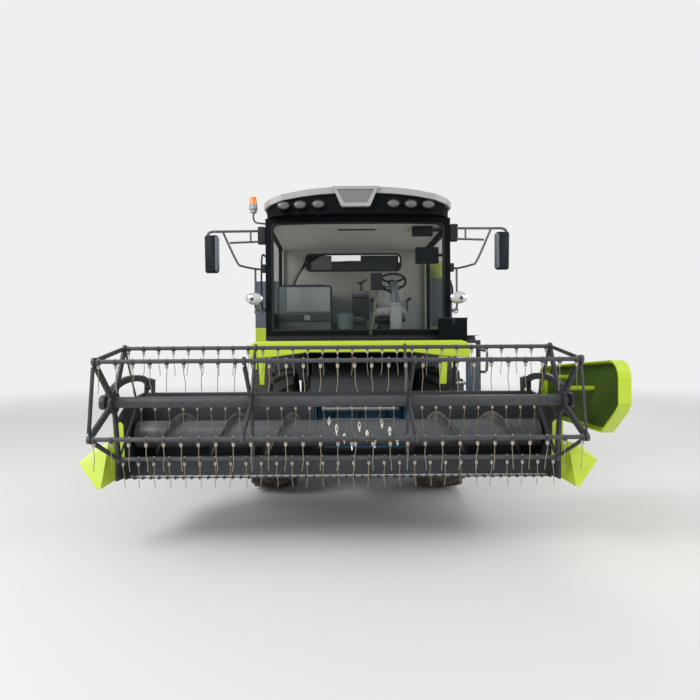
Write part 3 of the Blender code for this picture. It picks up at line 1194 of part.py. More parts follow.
def build_mirror(side, name, head_x, head_z):
    """Make a mirror with its pipe arm, stay and the work lamp below it, as one bracket."""
    m = MACHINE_X
    post_x = m + side * (CAB_HALF + GAP)
    y = CAB_FRONT_Y + CAB_BOW + 0.03
    out_y = CAB_FRONT_Y - 0.16
    r = 0.014
    top, mid, low = head_z + 0.30, head_z + 0.14, 2.88
    s = side
    door_clear = y + 0.03
    bracket = box(*sorted((post_x, post_x + s * 0.10)), y - 0.05, door_clear, mid - 0.04, top + 0.05)
    head = hull([(head_x + s * x, out_y + v, head_z + z) for x, v, z in (
        (-0.075, -0.03, 0.215), (0.085, -0.01, 0.205), (0.085, -0.01, -0.205), (-0.075, -0.03, -0.215),
        (-0.06, 0.06, 0.18), (0.06, 0.07, 0.17), (0.06, 0.07, -0.17), (-0.06, 0.06, -0.18))])
    additions = [
        head,
        tube([(post_x + s * 0.03, y, top), (head_x - s * 0.12, out_y, top), (head_x + s * 0.03, out_y, top - 0.03),
              (head_x + s * 0.055, out_y, head_z + 0.05)], r, 6),
        tube([(post_x + s * 0.03, y, mid), (head_x - s * 0.24, out_y, mid)], r * 0.9, 6),
        tube([(head_x - s * 0.17, out_y, top), (head_x - s * 0.35, out_y + 0.04, low + 0.01),
              (post_x + s * 0.10, y, low), (post_x + s * 0.01, y, low)], r * 0.9, 6),
        box(*sorted((post_x, post_x + s * 0.05)), y - 0.04, door_clear, low - 0.05, low + 0.06),
    ]
    lamp_x, lamp_z = post_x + s * 0.14, 2.46
    additions.append(tube([(lamp_x - s * 0.02, y, low + 0.005), (lamp_x - s * 0.02, y, lamp_z)], r * 0.9, 6))
    additions.append(turned([(0.04, door_clear), (0.085, y - 0.04), (0.09, y - 0.12), (0.06, y - 0.15)],
                            "Y", lamp_x, lamp_z, 12))
    join(bracket, *additions)
    node(f"mirror_{name}", bracket, "black_trim", None, 35)


def build_front_fittings():
    """Make the mirrors, beacon, bumper with its skirts, and the ladder with its platform."""
    m = MACHINE_X
    build_mirror(-1, "R", -1.484, 2.98)
    build_mirror(1, "L", 1.925, 3.0)
    x, y = m - ROOF_HALF - BEACON_ASIDE, ROOF_FRONT_Y + 0.33
    lamp = turned([(0.038, 3.52), (0.052, 3.54), (0.052, 3.60), (0.046, 3.68), (0.02, 3.70)], "Z", x, y, 12)
    stalk = tube([(x, y, 3.54), (x, y, 3.45), (m - CAB_HALF - 0.04, y + 0.02, 3.385),
                  (m - CAB_HALF - GAP, y + 0.02, 3.385)], 0.013, 6)
    join(lamp, stalk)
    node("beacon", lamp, "amber_lens", None, 35)
    outline = [(m + BUMPER_HALF, BUMPER_TOP - 0.03), (m + BUMPER_HALF - 0.04, BUMPER_TOP),
               (m - BUMPER_HALF + 0.04, BUMPER_TOP), (m - BUMPER_HALF, BUMPER_TOP - 0.03),
               (m - BUMPER_HALF, BUMPER_LOW_END), (m - BUMPER_HALF + 0.25, BUMPER_LOW_END + 0.01),
               (m - 0.6, BUMPER_LOW_MID), (m + 0.6, BUMPER_LOW_MID),
               (m + BUMPER_HALF - 0.25, BUMPER_LOW_END + 0.01), (m + BUMPER_HALF, BUMPER_LOW_END)]
    bumper = prism(outline, "Y", BUMPER_Y, BUMPER_Y + BUMPER_DEPTH)
    additions = []
    for inner, outer in ((-1.07, -1.15), (0.90, 1.0)):
        skirt = [(m + inner, 1.80), (m + outer, 1.80), (m + outer * 0.985, 1.46), (m + inner * 1.01, 1.46)]
        additions.append(prism(skirt, "Y", BUMPER_Y + 0.02, BUMPER_Y + 0.05))
    for s in (-1, 1):
        low, high = sorted((m + s * RAIL_IN, m + s * (RAIL_IN + RAIL_THICK)))
        additions.append(box(low, high, BUMPER_Y + BUMPER_DEPTH - 0.01, BUMPER_Y + BUMPER_DEPTH + 0.02 - GAP,
                             1.87, 1.94))
    join(bumper, *additions)
    node("front_bumper", bumper, "lime_paint")
    build_ladder()


def build_ladder():
    """Make the platform beside the door, the ladder down from it and its handrail."""
    m = MACHINE_X
    inner = m + CAB_HALF + GAP
    outer = m + LADDER_OUT
    deck = box(inner, outer, CAB_FRONT_Y + 0.22, CAB_FRONT_Y + 1.25, DECK_TOP - 0.05, DECK_TOP)
    y0 = CAB_FRONT_Y - 0.02
    additions = [box(m + CAB_HALF - 0.10, outer, y0, CAB_FRONT_Y + 0.3, 1.925, CAB_FLOOR_LOW - GAP)]
    additions.append(box(inner, outer, CAB_FRONT_Y + 0.20, CAB_FRONT_Y + 0.30, 1.93, 1.99))
    # a tool box on the deck's front corner
    additions.append(box(*TOOL_BOX_X, y0 - 0.02, y0 + 0.08, 1.95, 2.21))
    half = LADDER_POST / 2
    posts = (inner + half + 0.015, outer - half)
    for x in posts:
        additions.append(box(x - half, x + half, y0, y0 + 0.09, 0.85, 1.95))
    for z in STEP_HEIGHTS:
        additions.append(box(posts[0], posts[1], y0 + 0.005, y0 + 0.15, z, z + 0.025))
    additions.append(box(posts[1] - 0.15, posts[1], y0, y0 + 0.03, 1.35, 1.75))
    loop = [(posts[1], y0 + 0.03, 1.59), (outer + 0.06, y0 - 0.02, 1.60), (outer + 0.07, y0 - 0.02, 1.82),
            (posts[1], y0 + 0.03, 1.85)]
    additions.append(tube(loop, HANDRAIL_RADIUS, 6))
    join(deck, *additions)
    node("access_ladder", deck, "charcoal_paint", None, 35)


def main():
    """Build the whole machine."""
    clear_scene()
    build_reel()
    build_reel_arms()
    build_cover()
    build_header()
    build_knife()
    build_dividers()
    build_auger()
    build_feeder()
    build_lift_cylinders()
    build_running_gear()
    build_chassis()
    build_body()
    build_cab()
    build_front_fittings()


main()
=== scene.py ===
"""Looks of a combine harvester with a raised grain header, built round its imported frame.

Units are metres. +X is the machine's left side, -Y its front and +Z up. Each sub-assembly is a
class that works out its own surfaces with numpy, and each finish is a small frozen dataclass.
"""

import json
import logging
import math
from dataclasses import dataclass, field
from enum import Enum
from functools import cache, partial

import bmesh
import bpy
import numpy as np
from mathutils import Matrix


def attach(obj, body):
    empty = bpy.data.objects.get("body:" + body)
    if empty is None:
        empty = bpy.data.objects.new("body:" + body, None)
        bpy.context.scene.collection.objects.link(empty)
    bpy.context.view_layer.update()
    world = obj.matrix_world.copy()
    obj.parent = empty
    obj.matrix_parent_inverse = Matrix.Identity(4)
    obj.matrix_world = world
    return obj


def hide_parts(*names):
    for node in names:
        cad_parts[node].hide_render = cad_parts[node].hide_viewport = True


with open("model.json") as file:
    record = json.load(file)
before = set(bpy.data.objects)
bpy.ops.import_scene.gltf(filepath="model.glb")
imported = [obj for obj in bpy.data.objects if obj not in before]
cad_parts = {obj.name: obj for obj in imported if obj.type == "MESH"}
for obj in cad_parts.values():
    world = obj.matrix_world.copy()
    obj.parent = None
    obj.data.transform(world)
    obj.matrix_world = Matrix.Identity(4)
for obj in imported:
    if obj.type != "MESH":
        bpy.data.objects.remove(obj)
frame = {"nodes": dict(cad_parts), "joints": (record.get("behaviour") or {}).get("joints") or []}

log = logging.getLogger("combine")
Colour = tuple[float, float, float]
Point = tuple[float, float, float]

# Driving places: the machine's middle, the reel's axis and the knife
MACHINE_X = 0.25
REEL_Y = -3.40
KNIFE_Y = -2.974
KNIFE_Z = 0.668

ORIGIN: Point = (0.0, 0.0, 0.0)
ACROSS: Point = (1.0, 0.0, 0.0)
ALONG: Point = (0.0, 1.0, 0.0)
SIDES_OF: tuple[tuple[int, str], ...] = ((1, "L"), (-1, "R"))


class Slot(Enum):
    """The record's material slots that new pieces take their finish from."""

    CHARCOAL = "charcoal_paint"
    SLATE = "slate_paint"
    LIME = "lime_paint"
    BLACK = "black_trim"
    WHITE = "roof_white"
    GLASS = "tinted_glass"
    TYRE = "tyre_rubber"
    RIM = "rim_paint"
    STEEL = "bright_steel"
    CLOTH = "seat_fabric"
    AMBER = "amber_lens"
    CAST = "cast_engine"


class Axis(Enum):
    """The three axes."""

    X = 0
    Y = 1
    Z = 2

    @property
    def across(self) -> tuple[int, int]:
        """Give the other two axes, in the order in which a section's coordinates are laid."""
        return ((1, 2), (0, 2), (0, 1))[self.value]


# Forms


@dataclass
class Form:
    """A surface held as arrays: points, and faces grouped by their number of corners."""

    points: np.ndarray
    faces: list[np.ndarray]

    def __add__(self, other: "Form") -> "Form":
        """Put two forms into one, the second's corners counted after the first's.

        Args:
            other: the form added.

        Returns:
            Both as one.
        """
        shift = len(self.points)
        return Form(np.concatenate([self.points, other.points]),
                    self.faces + [face + shift for face in other.faces])

    def moved(self, x: float = 0.0, y: float = 0.0, z: float = 0.0) -> "Form":
        """Shift every point."""
        return Form(self.points + np.array([x, y, z]), self.faces)

    def scaled(self, x: float = 1.0, y: float = 1.0, z: float = 1.0) -> "Form":
        """Stretch every point from the origin."""
        return Form(self.points * np.array([x, y, z]), self.faces)

    def turned(self, axis: Axis, degrees: float, centre: Point = ORIGIN) -> "Form":
        """Turn every point about a line through a centre.

        Args:
            axis: the line's direction.
            degrees: the angle by the right-hand rule.
            centre: a point on the line.

        Returns:
            The turned form.
        """
        c, s = math.cos(math.radians(degrees)), math.sin(math.radians(degrees))
        u, v = [(1, 2), (2, 0), (0, 1)][axis.value]
        local = self.points - np.array(centre)
        out = local.copy()
        out[:, u] = c * local[:, u] - s * local[:, v]
        out[:, v] = s * local[:, u] + c * local[:, v]
        return Form(out + np.array(centre), self.faces)

    def copies(self, places: np.ndarray | list) -> "Form":
        """Repeat the form at each place.

        Args:
            places: shifts, one row each.

        Returns:
            One form of all copies: every point plus every shift, faces counted on.
        """
        places = np.atleast_2d(np.asarray(places, float))
        count = len(self.points)
        points = (self.points[None] + places[:, None]).reshape(-1, 3)
        steps = (np.arange(len(places)) * count)[:, None, None]
        return Form(points, [(face[None] + steps).reshape(-1, face.shape[1]) for face in self.faces])


def together(forms: list[Form]) -> Form:
    """Put a list of forms into one.

    Args:
        forms: at least one form.

    Returns:
        All of them as one.
    """
    total = forms[0]
    for form in forms[1:]:
        total = total + form
    return total


def skin(rings: np.ndarray, closed: bool = False, capped: bool = True) -> Form:
    """Skin a run of rings of equal counts with four-sided faces.

    Corner j of ring i joins corner j + 1 and the same two of ring i + 1; the last corner joins
    the first, and a closed run's last ring joins its first.

    Args:
        rings: array of shape (rings, corners, 3).
        closed: whether the run goes round to its start.
        capped: whether an open run's two ends get a flat face each.

    Returns:
        The skinned form.
    """
    count, around = rings.shape[:2]
    index = np.arange(count * around).reshape(count, around)
    here = index if closed else index[:-1]
    ahead = np.roll(index, -1, axis=0) if closed else index[1:]
    quads = np.stack([here, np.roll(here, -1, 1), np.roll(ahead, -1, 1), ahead], axis=-1)
    faces = [quads.reshape(-1, 4)]
    if capped and not closed:
        faces += [index[:1, ::-1], index[-1:]]
    return Form(rings.reshape(-1, 3), faces)


def unit(vectors: np.ndarray) -> np.ndarray:
    """Scale each row to length one."""
    return vectors / np.maximum(np.linalg.norm(vectors, axis=-1, keepdims=True), 1e-12)


def circle(radius: float, steps: int, phase: float = 0.0) -> np.ndarray:
    """List the points of a circle: radius times cosine and sine of equal angles."""
    angle = phase + 2 * np.pi * np.arange(steps) / steps
    return radius * np.stack([np.cos(angle), np.sin(angle)], axis=-1)


def rounded(half_u: float, half_v: float, radius: float, steps: int = 4) -> np.ndarray:
    """Outline a rectangle with round corners: quarter circles about the four corner centres.

    Args:
        half_u: half its width.
        half_v: half its height.
        radius: the corners' radius.
        steps: points on each quarter circle.

    Returns:
        The points in order, one row each.
    """
    angle = np.radians(np.linspace(0, 90, steps))[None] + np.radians([0, 90, 180, 270])[:, None]
    middle = np.array([[1, 1], [-1, 1], [-1, -1], [1, -1]]) * [half_u - radius, half_v - radius]
    out = middle[:, None] + radius * np.stack([np.cos(angle), np.sin(angle)], axis=-1)
    return out.reshape(-1, 2)


def laid(flat: np.ndarray, along: np.ndarray | float, axis: Axis) -> np.ndarray:
    """Lay 2-D points across an axis at places along it, in the order of the other two axes.

    Args:
        flat: points, two coordinates each.
        along: one place, or one for each point.
        axis: the axis that they lie across.

    Returns:
        The points with three coordinates.
    """
    u, v = flat[..., 0], flat[..., 1]
    w = np.broadcast_to(along, u.shape)
    order = {Axis.X: (w, u, v), Axis.Y: (u, w, v), Axis.Z: (u, v, w)}[axis]
    return np.stack(order, axis=-1)


def prism(outline: np.ndarray | list, axis: Axis, low: float, high: float) -> Form:
    """Extrude an outline along an axis between two places, with flat ends."""
    flat = np.asarray(outline, float)
    return skin(np.stack([laid(flat, low, axis), laid(flat, high, axis)]))


def block(low: Point, high: Point, radius: float = 0.01, axis: Axis = Axis.Z, steps: int = 4) -> Form:
    """Make a block with round edges.

    Rings of a rounded rectangle run along an axis; near each end the ring draws in by
    radius * (1 - sin a) while it moves on by radius * (1 - cos a), a quarter circle.

    Args:
        low: the lowest corner.
        high: the highest corner.
        radius: the edges' radius.
        axis: the direction that the rings run along.
        steps: points on each quarter circle.

    Returns:
        The block as a closed form.
    """
    low, high = np.minimum(low, high), np.maximum(low, high)
    u, v = axis.across
    half = (high - low) / 2
    middle = (high + low) / 2
    radius = min(radius, half.min() * 0.98)
    turn = np.radians(np.linspace(0, 90, steps))
    inset = np.concatenate([radius * (1 - np.sin(turn)), radius * (1 - np.sin(turn[::-1]))])
    w0, w1 = low[axis.value], high[axis.value]
    place = np.concatenate([w0 + radius * (1 - np.cos(turn)), w1 - radius * (1 - np.cos(turn[::-1]))])
    corner = rounded(half[u], half[v], radius, steps)
    centre = np.sign(corner) * np.array([half[u] - radius, half[v] - radius])
    rings = centre[None] + (corner - centre)[None] * (1 - inset / radius)[:, None, None]
    flat = rings + np.array([middle[u], middle[v]])
    return skin(laid(flat, place[:, None], axis))


def turned(profile: np.ndarray | list, axis: Axis, centre: Point, steps: int = 32,
           closed: bool = False) -> Form:
    """Turn a profile about a line: each (radius, place) becomes a circle of that radius.

    Args:
        profile: rows of radius and place along the axis, from the centre's own place.
        axis: the line's direction.
        centre: a point on the line.
        steps: corners of each circle.
        closed: whether the profile is a loop.

    Returns:
        The turned form.
    """
    rows = np.asarray(profile, float)
    u, v = axis.across
    flat = rows[:, :1, None] * circle(1.0, steps)[None] + np.array([centre[u], centre[v]])
    return skin(laid(flat, rows[:, 1:2] + centre[axis.value], axis), closed=closed)


def curve(knots: list | np.ndarray, steps: int = 6, closed: bool = False) -> np.ndarray:
    """Carry a smooth curve through knots, a cubic between each two (Catmull and Rom's form).

    Args:
        knots: points on the curve.
        steps: points per span.
        closed: whether it goes round.

    Returns:
        The points, one row each.
    """
    knots = np.asarray(knots, float)
    if closed:
        p0, p1, p2, p3 = (np.roll(knots, shift, axis=0) for shift in (1, 0, -1, -2))
    else:
        ends = np.concatenate([[2 * knots[0] - knots[1]], knots, [2 * knots[-1] - knots[-2]]])
        p0, p1, p2, p3 = ends[:-3], ends[1:-2], ends[2:-1], ends[3:]
    t = (np.arange(steps) / steps)[None, :, None]
    a, b, c, d = (p[:, None] for p in (p0, p1, p2, p3))
    out = 0.5 * (2 * b + (c - a) * t + (2 * a - 5 * b + 4 * c - d) * t ** 2
                 + (3 * b - a - 3 * c + d) * t ** 3)
    out = out.reshape(-1, knots.shape[1])
    return out if closed else np.concatenate([out, knots[-1:]])


def swept(path: np.ndarray | list, section: np.ndarray, reference: Point = (0.0, 0.0, 1.0),
          closed: bool = False, sizes: np.ndarray | None = None) -> Form:
    """Carry a section along a path.

    At each point the section lies in the plane across the path's direction; its first
    coordinate runs along direction x reference, its second across both.

    Args:
        path: points, one row each.
        section: outline as rows of two coordinates.
        reference: a direction that the path never follows.
        closed: whether the path is a loop.
        sizes: scale of the section at each point.

    Returns:
        The swept form.
    """
    path = np.asarray(path, float)
    if closed:
        along = unit(np.roll(path, -1, axis=0) - np.roll(path, 1, axis=0))
    else:
        along = unit(np.gradient(path, axis=0))
    side = unit(np.cross(along, np.asarray(reference, float)))
    up = np.cross(side, along)
    scale = np.ones(len(path)) if sizes is None else np.asarray(sizes, float)
    u = section[None, :, :1] * scale[:, None, None]
    v = section[None, :, 1:] * scale[:, None, None]
    rings = path[:, None] + u * side[:, None] + v * up[:, None]
    return skin(rings, closed=closed)


def pipe(path: np.ndarray | list, radius: float, sides: int = 10, reference: Point = (0.0, 0.0, 1.0),
         closed: bool = False) -> Form:
    """Carry a round section along a path."""
    return swept(path, circle(radius, sides), reference, closed)


def bolt(radius: float, height: float, axis: Axis = Axis.X, out: int = 1) -> Form:
    """Make a six-sided bolt head with a washer at the origin, its top pointing out along an axis.

    Args:
        radius: the head's radius over its corners.
        height: the head's height.
        axis: the bolt's direction.
        out: 1 or -1, the way its top points.

    Returns:
        The head and the washer.
    """
    washer = turned([(radius * 1.45, 0), (radius * 1.45, out * height * 0.25)], axis, ORIGIN, 12)
    head = turned([(radius, 0), (radius, out * height * 0.9), (radius * 0.8, out * height)],
                  axis, ORIGIN, 6)
    return washer + head


def ring_places(count: int, radius: float, axis: Axis, centre: Point, phase: float = 0.0) -> np.ndarray:
    """List places on a circle round a centre, at equal angles."""
    return laid(circle(radius, count, phase), 0.0, axis) + np.array(centre)


# Shader groups


class Graph:
    """A node tree with short calls that add nodes and join sockets."""

    def __init__(self, tree: bpy.types.NodeTree) -> None:
        """Hold the tree."""
        self.tree = tree

    def fill(self, node: bpy.types.Node, inputs: dict) -> None:
        """Give each named or numbered input its value, or join it to the socket given.

        Args:
            node: the node to fill.
            inputs: socket names or numbers, each with a value or a socket.
        """
        for key, value in inputs.items():
            if isinstance(value, bpy.types.NodeSocket):
                self.tree.links.new(value, node.inputs[key])
            else:
                node.inputs[key].default_value = value

    def add(self, kind: str, inputs: dict | None = None, **settings: object) -> bpy.types.Node:
        """Add a node.

        Args:
            kind: the node's type name without its first part, ShaderNode.
            inputs: socket names or numbers, each with a value or with a socket to join.
            settings: the node's own settings.

        Returns:
            The node.
        """
        node = self.tree.nodes.new("ShaderNode" + kind)
        for key, value in settings.items():
            setattr(node, key, value)
        self.fill(node, inputs or {})
        return node

    def group(self, tree: bpy.types.NodeTree, inputs: dict) -> bpy.types.Node:
        """Place a shared shader group with its own values."""
        return self.add("Group", inputs, node_tree=tree)

    def place(self) -> bpy.types.NodeSocket:
        """Give the object's own coordinates."""
        return self.add("TexCoord").outputs["Object"]

    def noise(self, place: object, scale: object, detail: float) -> bpy.types.NodeSocket:
        """Add a noise texture and return its value."""
        return self.add("TexNoise", {"Vector": place, "Scale": scale, "Detail": detail}).outputs[0]

    def math(self, operation: str, a: object, b: object = 0.0, clamp: bool = False) -> bpy.types.NodeSocket:
        """Add a math node and return its result."""
        return self.add("Math", {0: a, 1: b}, operation=operation, use_clamp=clamp).outputs[0]

    def times(self, a: object, b: object) -> bpy.types.NodeSocket:
        """Multiply two vectors, part by part."""
        return self.add("VectorMath", {0: a, 1: b}, operation="MULTIPLY").outputs[0]

    def blend(self, share: object, a: object, b: object) -> bpy.types.NodeSocket:
        """Mix two colours and return the result."""
        return self.add("Mix", {0: share, 6: a, 7: b}, data_type="RGBA").outputs[2]

    def span(self, value: object, low: float, high: float, to_low: float = 0.0,
             to_high: float = 1.0) -> bpy.types.NodeSocket:
        """Map a value from one range to another, held at the ends."""
        return self.add("MapRange", {0: value, 1: low, 2: high, 3: to_low, 4: to_high}).outputs[0]


def new_group(name: str, takes: dict[str, tuple[str, object]],
              gives: dict[str, str]) -> tuple[Graph, object, bpy.types.Node]:
    """Start a shader group with named sockets.

    Args:
        name: the group's name.
        takes: input names, each with a socket type and a default.
        gives: output names, each with a socket type.

    Returns:
        The group's graph, the sockets of what it takes, and its output node.
    """
    tree = bpy.data.node_groups.new(name, "ShaderNodeTree")
    for label, (kind, value) in takes.items():
        socket = tree.interface.new_socket(label, in_out="INPUT", socket_type="NodeSocket" + kind)
        socket.default_value = value
    for label, kind in gives.items():
        tree.interface.new_socket(label, in_out="OUTPUT", socket_type="NodeSocket" + kind)
    return Graph(tree), tree.nodes.new("NodeGroupInput").outputs, tree.nodes.new("NodeGroupOutput")


@cache
def weather_group() -> bpy.types.NodeTree:
    """Build the group that lays dust and small changes of tone over a colour.

    Dust is thickest near the ground and in slow noise; tone is a slow noise of its own, and
    roughness rises with both.

    Returns:
        The group's tree, the same one at each call.
    """
    graph, given, gives = new_group(
        "weather",
        {"Color": ("Color", (0.5, 0.5, 0.5, 1)), "Dust Color": ("Color", (0.30, 0.25, 0.19, 1)),
         "Dust": ("Float", 0.1), "Tone": ("Float", 0.06), "Roughness": ("Float", 0.4)},
        {"Color": "Color", "Roughness": "Float"})
    place = graph.place()
    slow, fine = graph.noise(place, 2.3, 5.0), graph.noise(place, 38.0, 4.0)
    height = graph.add("SeparateXYZ", {0: place}).outputs[2]
    low = graph.span(height, 0.0, 1.7, 1.0, 0.22)
    patch = graph.span(graph.math("ADD", slow, graph.math("MULTIPLY", fine, 0.45)), 0.55, 0.95)
    dust = graph.math("MULTIPLY", graph.math("MULTIPLY", patch, low), given["Dust"], clamp=True)
    shade = graph.math("MULTIPLY", graph.math("SUBTRACT", slow, 0.5), given["Tone"])
    bright = graph.math("ADD", 1.0, graph.math("MULTIPLY", shade, 2.0))
    rise = graph.math("ADD", graph.math("MULTIPLY", dust, 0.5), shade)
    graph.fill(gives, {"Color": graph.blend(dust, graph.times(given["Color"], bright), given["Dust Color"]),
                       "Roughness": graph.math("ADD", given["Roughness"], rise, clamp=True)})
    return graph.tree


@cache
def grain_group() -> bpy.types.NodeTree:
    """Build the group for a fine surface grain: noise of a given scale as a bumped normal.

    Returns:
        The group's tree, the same one at each call.
    """
    graph, given, gives = new_group(
        "grain", {"Scale": ("Float", 600.0), "Depth": ("Float", 0.0004), "Stretch": ("Float", 1.0)},
        {"Normal": "Vector", "Height": "Float"})
    longer = graph.add("CombineXYZ", {0: given["Stretch"], 1: 1.0, 2: 1.0}).outputs[0]
    noise = graph.noise(graph.times(graph.place(), longer), given["Scale"], 3.0)
    bump = graph.add("Bump", {"Height": noise, "Distance": given["Depth"], "Strength": 0.6})
    graph.fill(gives, {"Normal": bump.outputs[0], "Height": noise})
    return graph.tree


@cache
def wear_group() -> bpy.types.NodeTree:
    """Build the group that bares a second colour on sharp edges, broken up by noise.

    Returns:
        The group's tree, the same one at each call.
    """
    graph, given, gives = new_group(
        "edge_wear", {"Color": ("Color", (0.5, 0.5, 0.5, 1)), "Bare Color": ("Color", (0.4, 0.4, 0.4, 1)),
                      "Amount": ("Float", 0.5)},
        {"Color": "Color", "Mask": "Float"})
    noise = graph.noise(graph.place(), 26.0, 6.0)
    sharp = graph.add("NewGeometry").outputs["Pointiness"]
    edge = graph.span(graph.math("ADD", sharp, graph.math("MULTIPLY", noise, 0.16)), 0.60, 0.68)
    mask = graph.math("MULTIPLY", edge, given["Amount"], clamp=True)
    graph.fill(gives, {"Color": graph.blend(mask, given["Color"], given["Bare Color"]), "Mask": mask})
    return graph.tree


# Finishes


@dataclass(frozen=True)
class Finish:
    """A finish: its colour, gloss, dust, edge wear and grain."""

    name: str
    slot: Slot
    colour: Colour
    roughness: float = 0.4
    metallic: float = 0.0
    coat: float = 0.0
    dust: float = 0.10
    tone: float = 0.08
    wear: float = 0.0
    bare: Colour = (0.35, 0.35, 0.35)
    grain: float = 500.0
    depth: float = 0.0003
    stretch: float = 1.0
    specular: float = 0.5

    @cache
    def material(self) -> bpy.types.Material:
        """Build the material the first time, and return the same one after that.

        Returns:
            The material.
        """
        made = bpy.data.materials.new("look_" + self.name)
        made.use_nodes = True
        self.shade(Graph(made.node_tree), made.node_tree.nodes["Principled BSDF"])
        return made

    def base(self, graph: Graph) -> object:
        """Give the colour, or the socket that carries it."""
        return (*self.colour, 1.0)

    def shade(self, graph: Graph, shader: bpy.types.Node) -> None:
        """Fill the shader: colour through wear and dust, roughness from dust, normal from grain.

        Args:
            graph: the material's graph.
            shader: its Principled BSDF.
        """
        colour = self.base(graph)
        if self.wear:
            colour = graph.group(wear_group(), {"Color": colour, "Bare Color": (*self.bare, 1.0),
                                                "Amount": self.wear}).outputs["Color"]
        weather = graph.group(weather_group(), {"Color": colour, "Dust": self.dust, "Tone": self.tone,
                                                "Roughness": self.roughness})
        grain = graph.group(grain_group(),
                            {"Scale": self.grain, "Depth": self.depth, "Stretch": self.stretch})
        graph.fill(shader,
                   {"Base Color": weather.outputs["Color"], "Roughness": weather.outputs["Roughness"],
                    "Normal": grain.outputs["Normal"], "Metallic": self.metallic,
                    "Specular IOR Level": self.specular, "Coat Weight": self.coat, "Coat Roughness": 0.08})


@dataclass(frozen=True)
class BandedPaint(Finish):
    """Paint in two colours that meet on a line rising towards the back."""

    lower: Colour = (0.5, 0.5, 0.5)
    height: float = 2.2
    rise: float = 0.05
    start_y: float = 0.0
    soft: float = 0.001

    def base(self, graph: Graph) -> object:
        """Give the lower colour below the line and the upper above it, over a width of 2 * soft.

        Args:
            graph: the material's graph.

        Returns:
            The socket that carries the colour.
        """
        parts = graph.add("SeparateXYZ", {0: graph.place()})
        back = graph.math("SUBTRACT", parts.outputs[1], self.start_y)
        line = graph.math("ADD", graph.math("MULTIPLY", back, self.rise), self.height)
        above = graph.span(graph.math("SUBTRACT", parts.outputs[2], line), -self.soft, self.soft)
        return graph.blend(above, (*self.lower, 1.0), (*self.colour, 1.0))


@dataclass(frozen=True)
class Glazing(Finish):
    """Tinted glass: clear face on, and more of a mirror at a slant."""

    clear: float = 0.18

    def shade(self, graph: Graph, shader: bpy.types.Node) -> None:
        """Let alpha rise with the slant of the view, over a smooth dark base.

        Args:
            graph: the material's graph.
            shader: its Principled BSDF.
        """
        slant = graph.add("LayerWeight", {"Blend": 0.32}).outputs["Facing"]
        smear = graph.noise(graph.place(), 3.0, 4.0)
        rough = graph.span(smear, 0.35, 0.75, self.roughness, self.roughness + 0.05)
        alpha = graph.span(slant, 0.0, 1.0, self.clear, 0.60)
        graph.fill(shader,
                   {"Alpha": alpha, "Roughness": rough, "Base Color": (*self.colour, 1.0), "IOR": 1.5})


@dataclass(frozen=True)
class Cloth(Finish):
    """Woven cloth: two crossed waves raise the threads, and the threads change the tone."""

    thread: float = 0.004

    def shade(self, graph: Graph, shader: bpy.types.Node) -> None:
        """Weave the bump and the colour from bands along X and along Y plus Z.

        Args:
            graph: the material's graph.
            shader: its Principled BSDF.
        """
        place = graph.place()
        parts = graph.add("SeparateXYZ", {0: place})
        turn = 2 * math.pi / self.thread
        down = graph.math("ADD", parts.outputs[1], parts.outputs[2])
        warp = graph.math("SINE", graph.math("MULTIPLY", parts.outputs[0], turn))
        weft = graph.math("SINE", graph.math("MULTIPLY", down, turn))
        threads = graph.math("MULTIPLY", warp, weft)
        share = graph.span(graph.math("ADD", threads, graph.noise(place, 14.0, 3.0)), -0.6, 1.8)
        dark = tuple(c * 0.62 for c in self.colour)
        colour = graph.blend(share, (*dark, 1.0), (*self.colour, 1.0))
        bump = graph.add("Bump", {"Height": threads, "Distance": 0.0006, "Strength": 0.7}).outputs[0]
        graph.fill(shader, {"Base Color": colour, "Normal": bump, "Roughness": self.roughness,
                            "Sheen Weight": 0.3})


LIME = Finish("lime", Slot.LIME, (0.52, 0.70, 0.034), 0.32, coat=0.25, dust=0.05, tone=0.05)
CHARCOAL = Finish("charcoal", Slot.CHARCOAL, (0.034, 0.039, 0.045), 0.46, 0.1, 0.04, 0.09, 0.14,
                  0.45, (0.12, 0.12, 0.13), specular=0.35)
SLATE = Finish("slate", Slot.SLATE, (0.088, 0.112, 0.145), 0.38, 0.05, 0.15, 0.07, 0.08, specular=0.4)
SIDES = BandedPaint("sides", Slot.SLATE, (0.088, 0.112, 0.145), 0.36, 0.05, 0.18, 0.08, 0.07,
                    lower=(0.50, 0.68, 0.038), height=2.19, rise=-0.10, start_y=-0.10)
AUGER_PAINT = Finish("auger_paint", Slot.SLATE, (0.068, 0.077, 0.088), 0.45, 0.2, 0.05, 0.12, 0.16,
                     0.4, (0.22, 0.22, 0.23))
FLIGHT_PAINT = Finish("flight_paint", Slot.SLATE, (0.036, 0.037, 0.037), 0.5, 0.2, dust=0.16, tone=0.2,
                      wear=0.8, bare=(0.26, 0.25, 0.24), specular=0.35)
BLACK = Finish("black", Slot.BLACK, (0.0045, 0.0065, 0.0085), 0.6, dust=0.012, grain=900.0, specular=0.05)
SATIN = Finish("satin_black", Slot.BLACK, (0.013, 0.015, 0.018), 0.5, dust=0.05, grain=700.0, depth=0.0005,
               specular=0.25)
WHITE = Finish("white", Slot.WHITE, (0.36, 0.363, 0.36), 0.36, coat=0.1, dust=0.05, tone=0.04)
CEILING = Finish("ceiling", Slot.WHITE, (0.72, 0.72, 0.64), 0.8, dust=0.0, tone=0.05, grain=380.0,
                 depth=0.0010)
LOW_LINING = BandedPaint("low_lining", Slot.WHITE, (0.40, 0.395, 0.345), 0.78, dust=0.0, tone=0.06,
                         grain=380.0, depth=0.0010, lower=(0.29, 0.345, 0.35), height=2.61, rise=0.0,
                         soft=0.18)
RUBBER = Finish("rubber", Slot.TYRE, (0.020, 0.020, 0.021), 0.80, dust=0.55, tone=0.2, grain=140.0,
                depth=0.0012)
